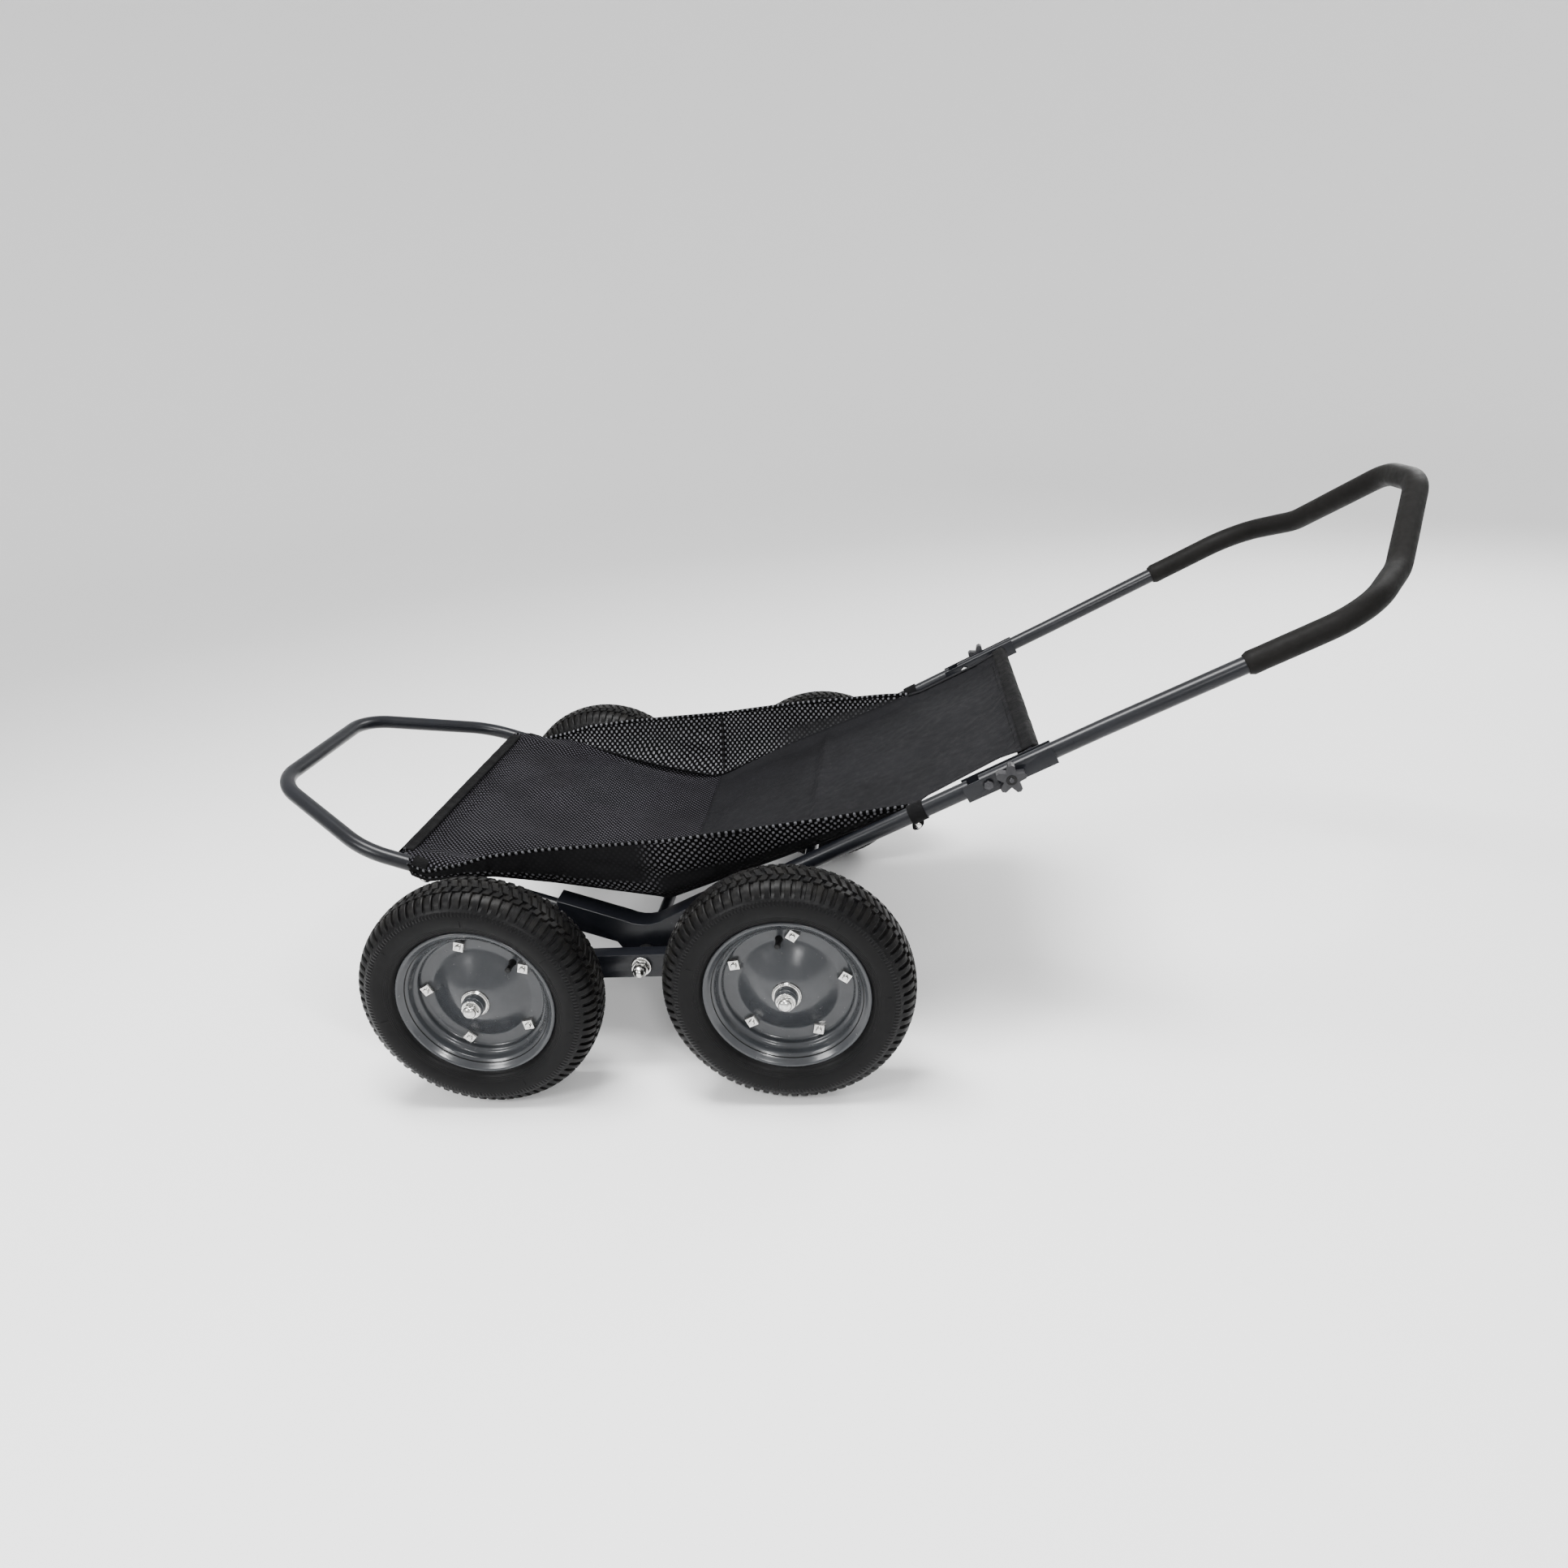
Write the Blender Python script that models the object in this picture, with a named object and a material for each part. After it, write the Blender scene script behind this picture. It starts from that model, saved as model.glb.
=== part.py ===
"""Game cart: rocking-beam hand cart with a mesh sling and a folding padded handle.

Metres, +Z up, ground at z = 0. +X points to the handle, -Y is the left side of someone pulling it.
The rocking beams pivot about the Y line x = PIVOT_X, z = AXLE_Z.
"""
from math import atan, cos, pi, radians, sin, sqrt, tan

import bmesh
import bpy
from mathutils import Matrix, Vector

# ---- driving dimensions -------------------------------------------------------------------------
GAP = 0.0003                    # clearance between pieces that touch

TYRE_R = 0.190
TYRE_W = 0.096
WHEEL_Y = 0.405                 # mid-plane of each wheel
AXLE_X = 0.239                  # half the distance between the axles of one beam
PIVOT_X = -0.006
AXLE_Z = TYRE_R
FLANGE_R = 0.1235               # outer edge of the rim flange
BEAD_R = 0.1015                 # bead seat of an 8-inch rim
RIM_T = 0.0022                  # rim steel
VALVE_R = 0.0048
VALVE_CIRCLE_R = 0.079
VALVE_ANGLES = {"front": 41, "rear": 95}       # degrees up from +X
HUB_R = 0.0175
HUB_END = 0.049                 # outer end of the hub from the mid-plane
BOLT_R = 0.0079                 # axle and pivot bolts
PIVOT_BOLT_END = 0.368          # outer end of each pivot bolt
AXLE_BOLT_END = 0.463
BORE_R = 0.0082

BEAM_Y = (0.322, 0.347)         # inner and outer face of the rocking beam
BEAM_H = 0.040
BEAM_WALL = 0.0025
BEAM_END = 0.034                # beam past each axle

TUBE_R = 0.0127                 # 1-inch frame tube
TUBE_WALL = 0.0016
CROSS_R = 0.0095                # 3/4-inch cross tubes
RAIL_Y = 0.286
VERTEX_Z = 0.213                # where the front and rear rail lines meet, above the pivot
FRONT_SLOPE = 0.38
REAR_SLOPE = 0.443

LOOP_KNEE_X = -0.450            # where the front rails turn inwards
LOOP_FRONT_X = -0.648
LOOP_CORNER_Y = 0.158
LOOP_RADII = (0.150, 0.090, 0.090, 0.150)

BRACKET_HALF_W = 0.020
BRACKET_ARM_X = 0.140           # reach of each bracket arm
BRACKET_HALF_H = 0.021
SADDLE_HALF = 0.034
SADDLE_DIP = 0.010
SOCKET_X = 0.075                # rail ends inside the bracket
BRACKET_BASE_Z = 0.161
BRACKET_TAPER = 0.022           # height of the tapered foot around the pivot

STRUT_POS = (0.018, 0.2350)
BRACE_X = 0.268
FRONT_CROSS_X = -0.392
REAR_CROSS_X = 0.607

HINGE_X = 0.540                 # handle hinge, on the rear rail line
RAIL_END_GAP = 0.026            # rail end before the hinge axis
HANDLE_END_GAP = 0.009
CLAMP_X = 0.571                 # star knob screw
CHANNEL_X = (0.506, 0.634)
CHANNEL_FLOOR_X = 0.585
CHEEK_T = 0.0020
CHEEK_TOP = 0.0115
KNOB_R = 0.0225
KNOB_WAIST = 0.0115
KNOB_PRONGS = 5
PIN_R = 0.0040
PIN_BORE_R = 0.0043

HANDLE_FLARE_X = 0.700          # from here the handle legs spread slightly
HANDLE_BEND = (1.037, 0.298)    # x and y of the first bend corner, in the rail plane
HANDLE_KINK = (1.107, 0.205)
HANDLE_APEX = (1.186, 0.050, 0.795)
HANDLE_RADII = (0.115, 0.110, 0.085, 0.085, 0.110, 0.115)
GRIP_START_X = 0.888
GRIP_R = 0.0172

SLING_T = 0.005
SLING_X = (-0.375, 0.031, 0.430, 0.452, 0.590)      # front, lowest line, tabs, waist, rear
SLING_Z = (0.3670, 0.270, 0.4155, 0.4250, 0.4840)
SLING_Y = (0.266, 0.275, 0.268, 0.240, 0.227)
SLING_RIM_RISE = 0.115          # side wall height at the lowest line
SLING_RIM_Y = 0.300
STRAP_X = (-0.360, 0.436)
STRAP_W = 0.024
STRAP_T = 0.0025

TUBE_SIDES = 12
BEND_STEPS = 4
WHEEL_SEGMENTS = 24
SIDES = (("left", -1), ("right", 1))
WHEELS = tuple((f"{end}_{side}", PIVOT_X + x_sign * AXLE_X, y_sign)
               for end, x_sign in (("front", -1), ("rear", 1)) for side, y_sign in SIDES)


# ---- materials ----------------------------------------------------------------------------------
def material(name, colour, roughness, metallic):
    """A Principled BSDF material, made once per name."""
    mat = bpy.data.materials.get(name) or bpy.data.materials.new(name)
    mat.use_nodes = True
    shader = mat.node_tree.nodes["Principled BSDF"]
    shader.inputs["Base Color"].default_value = (*colour, 1.0)
    shader.inputs["Roughness"].default_value = roughness
    shader.inputs["Metallic"].default_value = metallic
    return mat


def powder_coat(name):
    return material(f"{name}_powder_coat", (0.020, 0.021, 0.024), 0.32, 0.0)


def rim_paint(name):
    return material(f"{name}_rim_paint", (0.060, 0.064, 0.070), 0.22, 0.3)


def rubber(name):
    return material(f"{name}_rubber", (0.016, 0.016, 0.015), 0.75, 0.0)


def foam(name):
    return material(f"{name}_foam", (0.014, 0.014, 0.013), 0.85, 0.0)


def zinc(name):
    return material(f"{name}_zinc", (0.72, 0.72, 0.70), 0.25, 1.0)


def plastic(name):
    return material(f"{name}_plastic", (0.035, 0.036, 0.038), 0.5, 0.0)


def mesh_cloth(name):
    return material(f"{name}_cloth", (0.022, 0.022, 0.023), 0.8, 0.0)


# ---- mesh helpers -------------------------------------------------------------------------------
def make_object(name, bm, mat, location=(0, 0, 0), smooth=True):
    """Turn a bmesh into a named object with outward normals and one material."""
    bmesh.ops.recalc_face_normals(bm, faces=bm.faces)
    mesh = bpy.data.meshes.new(name)
    bm.to_mesh(mesh)
    bm.free()
    mesh.polygons.foreach_set("use_smooth", [smooth] * len(mesh.polygons))
    if smooth:
        mesh.set_sharp_from_angle(angle=radians(35))
    mesh.materials.append(mat)
    obj = bpy.data.objects.new(name, mesh)
    obj.location = location
    bpy.context.collection.objects.link(obj)
    return obj


def join_rings(bm, rings, closed):
    """Quads between neighbouring rings of vertices; closed joins the last ring to the first."""
    pairs = list(zip(rings[:-1], rings[1:]))
    if closed:
        pairs.append((rings[-1], rings[0]))
    for ring_a, ring_b in pairs:
        count = len(ring_a)
        for i in range(count):
            j = (i + 1) % count
            bm.faces.new((ring_a[i], ring_a[j], ring_b[j], ring_b[i]))


def ring_about_y(bm, radius, y, segments):
    step = 2 * pi / segments
    return [bm.verts.new((radius * cos(i * step), y, radius * sin(i * step))) for i in range(segments)]


def lathe(name, profile, segments, mat, location):
    """Spin a closed (radius, y) profile about the Y axis through location: a ring with a bore."""
    bm = bmesh.new()
    rings = [ring_about_y(bm, radius, y, segments) for radius, y in profile]
    join_rings(bm, rings, closed=True)
    return make_object(name, bm, mat, location)


def lathe_solid(name, profile, segments, mat, location):
    """Spin an open (radius, y) profile about the Y axis and close its ends with flat caps."""
    bm = bmesh.new()
    rings = [ring_about_y(bm, radius, y, segments) for radius, y in profile]
    join_rings(bm, rings, closed=False)
    bm.faces.new(rings[0])
    bm.faces.new(rings[-1])
    return make_object(name, bm, mat, location)


def prism(name, outline, y_low, y_high, mat, location=(0, 0, 0), smooth=False):
    """Extrude a closed (x, z) outline from y_low to y_high."""
    bm = bmesh.new()
    rings = [[bm.verts.new((x, y, z)) for x, z in outline] for y in (y_low, y_high)]
    join_rings(bm, rings, closed=False)
    for ring in rings:
        bm.faces.new(ring)
    return make_object(name, bm, mat, location, smooth)


def box(name, low, high, mat):
    outline = ((low[0], low[2]), (high[0], low[2]), (high[0], high[2]), (low[0], high[2]))
    return prism(name, outline, low[1], high[1], mat)


def combine(obj, cutters, operation="DIFFERENCE"):
    """Boolean the cutters into the object one after another, then delete them."""
    for cutter in cutters:
        modifier = obj.modifiers.new("boolean", "BOOLEAN")
        modifier.operation = operation
        modifier.object = cutter
        bpy.context.view_layer.update()
        evaluated = obj.evaluated_get(bpy.context.evaluated_depsgraph_get())
        mesh = bpy.data.meshes.new_from_object(evaluated)
        obj.modifiers.clear()
        obj.data = mesh
        bpy.data.objects.remove(cutter, do_unlink=True)
    return obj


def rod_between(name, start, end, radius, sides, mat):
    """A plain round rod between two points."""
    start, end = Vector(start), Vector(end)
    bm = bmesh.new()
    bmesh.ops.create_cone(bm, cap_ends=True, segments=sides, radius1=radius, radius2=radius,
                          depth=(end - start).length)
    turn = Vector((0, 0, 1)).rotation_difference(end - start).to_matrix().to_4x4()
    bmesh.ops.transform(bm, matrix=Matrix.Translation((start + end) / 2) @ turn, verts=bm.verts)
    return make_object(name, bm, mat)


def rounded_path(corners, radii, steps):
    """Replace each inner corner of a 3-D polyline by an arc of its bend radius, 0 to keep it."""
    points = [Vector(corners[0])]
    for previous, corner, following, radius in zip(corners, corners[1:], corners[2:], radii):
        corner = Vector(corner)
        if radius == 0:
            points.append(corner)
            continue
        inward = (Vector(previous) - corner).normalized()
        outward = (Vector(following) - corner).normalized()
        half = inward.angle(outward) / 2
        centre = corner + (inward + outward).normalized() * radius / sin(half)
        arm = corner + inward * radius / tan(half) - centre
        axis = inward.cross(outward).normalized()
        sweep = pi - 2 * half
        for step in range(steps + 1):
            turn = Matrix.Rotation(-sweep * step / steps, 3, axis)
            points.append(centre + turn @ arm)
    points.append(Vector(corners[-1]))
    return points


def tube_along(name, path, radius, inner_radius, sides, mat):
    """A hollow round tube swept along a path, open at both ends."""
    tangents = []
    for i, point in enumerate(path):
        before = path[max(i - 1, 0)]
        after = path[min(i + 1, len(path) - 1)]
        tangents.append((after - before).normalized())
    side = Vector((0, 0, 1)).cross(tangents[0]).normalized()
    bm = bmesh.new()
    outer, inner = [], []
    for i, (point, tangent) in enumerate(zip(path, tangents)):
        if i:
            side = tangents[i - 1].rotation_difference(tangent) @ side
        up = tangent.cross(side).normalized()
        for rings, ring_radius in ((outer, radius), (inner, inner_radius)):
            angles = [2 * pi * (k + 0.5) / sides for k in range(sides)]
            rings.append([bm.verts.new(point + (side * cos(a) + up * sin(a)) * ring_radius) for a in angles])
    join_rings(bm, outer + inner[::-1], closed=True)
    return make_object(name, bm, mat)


def hexagon(across, centre_x=0.0, centre_z=0.0):
    reach = across / 2 / cos(pi / 6)
    return [(centre_x + reach * cos(pi / 3 * i), centre_z + reach * sin(pi / 3 * i)) for i in range(6)]


def hex_bolt(name, x, z, y_head, y_shank, y_end, radius, across, mat):
    """Hexagon head from y_head to y_shank and a round shank on to y_end."""
    head = prism(name, hexagon(across, x, z), y_head, y_shank, mat, smooth=False)
    overlap = (y_shank - y_head) / 2
    shank = rod_between(f"{name}_shank", (x, y_shank - overlap, z), (x, y_end, z), radius, 12, mat)
    return combine(head, [shank], "UNION")


# ---- frame --------------------------------------------------------------------------------------
def rail_z(x):
    """Height of the rail centre line at x, in front of or behind the vertex."""
    return VERTEX_Z + (REAR_SLOPE * x if x > 0 else -FRONT_SLOPE * x)


def rail_point(x, y):
    return Vector((x, y, rail_z(x)))


def make_front_loop():
    corners = [rail_point(-SOCKET_X, -RAIL_Y), rail_point(LOOP_KNEE_X, -RAIL_Y),
               rail_point(LOOP_FRONT_X, -LOOP_CORNER_Y)]
    corners += [Vector((p.x, -p.y, p.z)) for p in reversed(corners)]
    path = rounded_path(corners, LOOP_RADII, BEND_STEPS)
    tube_along("front_loop", path, TUBE_R, TUBE_R - TUBE_WALL, TUBE_SIDES, powder_coat("front_loop"))


def make_rear_rail(side, sign):
    name = f"rear_rail_{side}"
    path = [rail_point(SOCKET_X, sign * RAIL_Y), rail_point(HINGE_X - RAIL_END_GAP, sign * RAIL_Y)]
    tube_along(name, path, TUBE_R, TUBE_R - TUBE_WALL, TUBE_SIDES, powder_coat(name))


def bracket_outline():
    """V-shaped side view: two arms along the rails, a curved saddle and a flat base at the pivot."""
    def edge(x, offset):
        slope = REAR_SLOPE if x > 0 else FRONT_SLOPE
        return x, rail_z(x) + offset / cos(atan(slope))
    left, right = edge(-SADDLE_HALF, BRACKET_HALF_H), edge(SADDLE_HALF, BRACKET_HALF_H)
    saddle = []
    for i in range(1, 6):
        t = i / 6
        dip = SADDLE_DIP * 4 * t * (1 - t)
        saddle.append((left[0] + (right[0] - left[0]) * t, left[1] + (right[1] - left[1]) * t - dip))
    return ([(-0.026, BRACKET_BASE_Z), (0.026, BRACKET_BASE_Z),
             (0.036, BRACKET_BASE_Z + BRACKET_TAPER), edge(0.052, -BRACKET_HALF_H),
             edge(BRACKET_ARM_X, -BRACKET_HALF_H), edge(BRACKET_ARM_X, BRACKET_HALF_H), right]
            + saddle[::-1]
            + [left, edge(-BRACKET_ARM_X, BRACKET_HALF_H), edge(-BRACKET_ARM_X, -BRACKET_HALF_H),
               edge(-0.052, -BRACKET_HALF_H), (-0.036, BRACKET_BASE_Z + BRACKET_TAPER)])


def make_pivot_bracket(side, sign):
    name = f"pivot_bracket_{side}"
    low, high = sorted((sign * (RAIL_Y - BRACKET_HALF_W), sign * (RAIL_Y + BRACKET_HALF_W)))
    mat = powder_coat(name)
    bracket = prism(name, bracket_outline(), low, high, mat)
    cutters = [rod_between("pivot_bore", (PIVOT_X, low - 0.01, AXLE_Z), (PIVOT_X, high + 0.01, AXLE_Z),
                           BORE_R, 16, mat)]
    for direction in (-1, 1):
        deep = rail_point(direction * (SOCKET_X - 0.003), sign * RAIL_Y)
        mouth = rail_point(direction * (BRACKET_ARM_X + 0.03), sign * RAIL_Y)
        cutters.append(rod_between("socket", deep, mouth, TUBE_R + GAP, 16, mat))
    combine(bracket, cutters)


def make_cross_tube(name, x, z, half_width, radius):
    path = [Vector((x, -half_width, z)), Vector((x, half_width, z))]
    tube_along(name, path, radius, radius - TUBE_WALL, TUBE_SIDES, powder_coat(name))


def make_cross_tubes():
    between_rails = RAIL_Y - TUBE_R - GAP
    make_cross_tube("cross_strut", *STRUT_POS, RAIL_Y - BRACKET_HALF_W - GAP, CROSS_R)
    make_cross_tube("rear_brace", BRACE_X, rail_z(BRACE_X), between_rails, CROSS_R)
    make_cross_tube("front_cross_tube", FRONT_CROSS_X, rail_z(FRONT_CROSS_X), between_rails, CROSS_R)
    inner_cheek = RAIL_Y - TUBE_R - GAP - CHEEK_T
    make_cross_tube("rear_cross_tube", REAR_CROSS_X, rail_z(REAR_CROSS_X), inner_cheek - GAP, CROSS_R)


# ---- handle joint -------------------------------------------------------------------------------
def channel_points(x_range, low, high):
    """Four (x, z) corners of a strip along the rear rail, between two offsets from its centre."""
    tilt = atan(REAR_SLOPE)
    corners = []
    for x, offset in ((x_range[0], low), (x_range[1], low), (x_range[1], high), (x_range[0], high)):
        corners.append((x - offset * sin(tilt), rail_z(x) + offset * cos(tilt)))
    return corners


def make_handle_bracket(side, sign):
    """U channel that holds the end of the rail, the hinge bolt and the seat of the handle."""
    name = f"handle_bracket_{side}"
    mat = powder_coat(name)
    inner = TUBE_R + GAP
    outer = inner + CHEEK_T
    centre = sign * RAIL_Y
    bracket = prism(name, channel_points(CHANNEL_X, -outer, CHEEK_TOP), centre - outer, centre + outer, mat)
    slot = prism("slot", channel_points((CHANNEL_X[0] - 0.02, CHANNEL_X[1] + 0.02), -inner, 0.04),
                 centre - inner, centre + inner, mat)
    relief = prism("relief", channel_points((CHANNEL_X[0] - 0.02, CHANNEL_FLOOR_X), -0.04, 0),
                   centre - inner, centre + inner, mat)
    hinge_bore = rod_between("hinge_bore", (HINGE_X, centre - 0.03, rail_z(HINGE_X)),
                             (HINGE_X, centre + 0.03, rail_z(HINGE_X)), PIN_BORE_R, 12, mat)
    clamp_bore = rod_between("clamp_bore", (CLAMP_X, centre, rail_z(CLAMP_X)),
                             (CLAMP_X, centre + sign * 0.03, rail_z(CLAMP_X)), PIN_BORE_R, 12, mat)
    combine(bracket, [slot, relief, hinge_bore, clamp_bore])


def make_hinge_bolt(side, sign):
    """Bolt through both cheeks and the handle end, head outboard."""
    name = f"hinge_bolt_{side}"
    cheek = TUBE_R + GAP + CHEEK_T + GAP
    y_shank = sign * (RAIL_Y + cheek)
    y_head = sign * (RAIL_Y + cheek + 0.005)
    y_end = sign * (RAIL_Y - cheek - 0.004)
    hex_bolt(name, HINGE_X, rail_z(HINGE_X), y_head, y_shank, y_end, PIN_R, 0.013, zinc(name))


def star_outline(radius, waist, prongs, centre):
    """Star knob outline: prongs with rounded tips."""
    points = []
    for i in range(prongs):
        for share, reach in ((-0.5, waist), (-0.17, radius * 0.93), (0.0, radius), (0.17, radius * 0.93)):
            angle = 2 * pi * (i + share) / prongs + pi / 2
            points.append((centre[0] + reach * cos(angle), centre[1] + reach * sin(angle)))
    return points


def make_star_knob(side, sign):
    """Star knob with its clamp screw, whose tip bears on the handle tube."""
    name = f"star_knob_{side}"
    mat = plastic(name)
    centre = (CLAMP_X, rail_z(CLAMP_X))
    face = RAIL_Y + TUBE_R + GAP + CHEEK_T + GAP
    low, high = sorted((sign * (face + 0.006), sign * (face + 0.022)))
    knob = prism(name, star_outline(KNOB_R, KNOB_WAIST, KNOB_PRONGS, centre), low, high, mat)
    boss = rod_between("boss", (centre[0], sign * face, centre[1]),
                       (centre[0], sign * (face + 0.010), centre[1]), 0.009, 12, mat)
    screw = rod_between("screw", (centre[0], sign * (RAIL_Y + TUBE_R + GAP), centre[1]),
                        (centre[0], sign * (face + 0.010), centre[1]), PIN_R, 12, mat)
    combine(knob, [boss, screw], "UNION")


# ---- handle -------------------------------------------------------------------------------------
def handle_corners():
    """Corners of the upper handle, from the flare on the left leg round to the right one."""
    half = [rail_point(HANDLE_FLARE_X, -RAIL_Y), rail_point(HANDLE_BEND[0], -HANDLE_BEND[1]),
            rail_point(HANDLE_KINK[0], -HANDLE_KINK[1]),
            Vector((HANDLE_APEX[0], -HANDLE_APEX[1], HANDLE_APEX[2]))]
    return half + [Vector((p.x, -p.y, p.z)) for p in reversed(half)]


def make_handle():
    root_x = HINGE_X - HANDLE_END_GAP
    corners = [rail_point(root_x, -RAIL_Y)] + handle_corners() + [rail_point(root_x, RAIL_Y)]
    path = rounded_path(corners, (0,) + HANDLE_RADII + (0,), BEND_STEPS)
    mat = powder_coat("handle_tube")
    handle = tube_along("handle_tube", path, TUBE_R, TUBE_R - TUBE_WALL, TUBE_SIDES, mat)
    bores = []
    for _, sign in SIDES:
        bores.append(rod_between("bore", (HINGE_X, sign * (RAIL_Y - 0.03), rail_z(HINGE_X)),
                                 (HINGE_X, sign * (RAIL_Y + 0.03), rail_z(HINGE_X)), PIN_BORE_R, 12, mat))
    combine(handle, bores)
    grip_corners = handle_corners()
    share = (GRIP_START_X - HANDLE_FLARE_X) / (HANDLE_BEND[0] - HANDLE_FLARE_X)
    grip_corners[0] = grip_corners[0].lerp(grip_corners[1], share)
    grip_corners[-1] = grip_corners[-1].lerp(grip_corners[-2], share)
    grip_path = rounded_path(grip_corners, HANDLE_RADII, BEND_STEPS)
    tube_along("foam_grip", grip_path, GRIP_R, TUBE_R + GAP, TUBE_SIDES, foam("foam_grip"))


# ---- rocking beams ------------------------------------------------------------------------------
def make_rocker_beam(side, sign):
    name = f"rocker_beam_{side}"
    mat = powder_coat(name)
    low, high = sorted((sign * BEAM_Y[0], sign * BEAM_Y[1]))
    reach = AXLE_X + BEAM_END
    bottom, top = AXLE_Z - BEAM_H / 2, AXLE_Z + BEAM_H / 2
    beam = box(name, (PIVOT_X - reach, low, bottom), (PIVOT_X + reach, high, top), mat)
    hollow = box("hollow", (PIVOT_X - reach - 0.01, low + BEAM_WALL, bottom + BEAM_WALL),
                 (PIVOT_X + reach + 0.01, high - BEAM_WALL, top - BEAM_WALL), mat)
    bores = [rod_between("bore", (x, low - 0.01, AXLE_Z), (x, high + 0.01, AXLE_Z), BORE_R, 16, mat)
             for x in (PIVOT_X - AXLE_X, PIVOT_X, PIVOT_X + AXLE_X)]
    combine(beam, [hollow] + bores)


def make_pivot_bush(side, sign):
    """Flanged spacer ring between the bracket and the beam."""
    name = f"pivot_bush_{side}"
    low, high = sorted((sign * (RAIL_Y + BRACKET_HALF_W + GAP), sign * (BEAM_Y[0] - GAP)))
    lathe(name, [(BORE_R, low), (0.016, low), (0.016, high), (BORE_R, high)], 16, plastic(name),
          (PIVOT_X, 0, AXLE_Z))


def make_pivot_bolt(side, sign):
    name = f"pivot_bolt_{side}"
    y_shank = sign * (RAIL_Y - BRACKET_HALF_W - GAP)
    hex_bolt(name, PIVOT_X, AXLE_Z, y_shank - sign * 0.009, y_shank, sign * PIVOT_BOLT_END, BOLT_R, 0.024,
             zinc(name))


def make_cap_nut(name, x, y_face, y_bolt_end, sign, body_r):
    """Domed nut with a flange, over the end of a bolt."""
    start = sign * y_face
    bottom = sign * (y_bolt_end + GAP)
    top = sign * (y_bolt_end + 0.006)
    profile = [(BORE_R, bottom), (BORE_R, start), (body_r + 0.003, start),
               (body_r + 0.003, start + sign * 0.002), (body_r, start + sign * 0.002),
               (body_r, bottom - sign * 0.001), (body_r * 0.75, top - sign * 0.002), (body_r * 0.3, top)]
    return lathe_solid(name, profile, 12, zinc(name), (x, 0, AXLE_Z))


# ---- wheels -------------------------------------------------------------------------------------
def tyre_profile():
    """Closed section: block tread crown, round sidewalls, beads and the air space open to the rim."""
    half = TYRE_W / 2
    outside = [(0.1022, 0.0268), (0.1245, 0.0345), (0.1460, half), (0.1660, half - 0.0015),
               (TYRE_R - 0.0100, half - 0.011), (TYRE_R - 0.001, half - 0.028)]
    inside = [(0.1022, 0.0200), (0.1460, half - 0.009), (TYRE_R - 0.015, 0.020)]
    outer = outside + [(r, -y) for r, y in reversed(outside)]
    inner = [(r, -y) for r, y in inside] + [(r, y) for r, y in reversed(inside)]
    return outer + inner


def rim_profile(sign):
    """Half of a split rim: domed disc, bolt ring at the mid-plane, bead seat and rolled flange."""
    outer_face = [(HUB_R + GAP, 0.0310), (0.0370, 0.0260), (0.0560, 0.0130), (0.0660, 0.0030),
                  (0.0940, 0.0030), (BEAD_R - RIM_T, 0.0100), (BEAD_R - RIM_T, 0.0290), (FLANGE_R, 0.0370)]
    hidden_face = [(FLANGE_R, 0.0345), (BEAD_R, 0.0268), (BEAD_R, GAP), (0.0640, GAP), (0.0545, 0.0102),
                   (0.0360, 0.0230), (HUB_R + GAP, 0.0280)]
    return [(r, sign * y) for r, y in outer_face + hidden_face]


def make_wheel(name, x, sign):
    centre = (x, sign * WHEEL_Y, AXLE_Z)
    angle = radians(VALVE_ANGLES[name.split("_")[0]])
    valve_x, valve_z = x + VALVE_CIRCLE_R * cos(angle), AXLE_Z + VALVE_CIRCLE_R * sin(angle)
    lathe(f"tyre_{name}", tyre_profile(), WHEEL_SEGMENTS, rubber(f"tyre_{name}"), centre)
    for half, direction in (("outer", sign), ("inner", -sign)):
        mat = rim_paint(f"rim_{name}")
        rim = lathe(f"rim_{half}_{name}", rim_profile(direction), WHEEL_SEGMENTS, mat, centre)
        if half == "outer":
            hole = rod_between("hole", (valve_x, centre[1], valve_z),
                               (valve_x, centre[1] + sign * 0.02, valve_z), VALVE_R + 0.0007, 8, mat)
            combine(rim, [hole])
    hub_in = BEAM_Y[1] + 0.0005 - WHEEL_Y
    hub = [(BORE_R, sign * hub_in), (HUB_R, sign * hub_in), (HUB_R, sign * HUB_END), (BORE_R, sign * HUB_END)]
    lathe(f"hub_{name}", hub, 16, rim_paint(f"hub_{name}"), centre)
    y_head = sign * (BEAM_Y[0] - GAP)
    hex_bolt(f"axle_bolt_{name}", x, AXLE_Z, y_head - sign * 0.008, y_head, sign * AXLE_BOLT_END, BOLT_R,
             0.022, zinc(f"axle_bolt_{name}"))
    make_cap_nut(f"axle_nut_{name}", x, WHEEL_Y + HUB_END + GAP, AXLE_BOLT_END, sign, 0.0125)
    valve = [(VALVE_R, sign * (WHEEL_Y + 0.001)), (VALVE_R, sign * (WHEEL_Y + 0.018)),
             (0.0030, sign * (WHEEL_Y + 0.020)), (0.0030, sign * (WHEEL_Y + 0.027))]
    lathe_solid(f"valve_stem_{name}", valve, 8, rubber(f"valve_{name}"),
                (valve_x, 0, valve_z))


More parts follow.
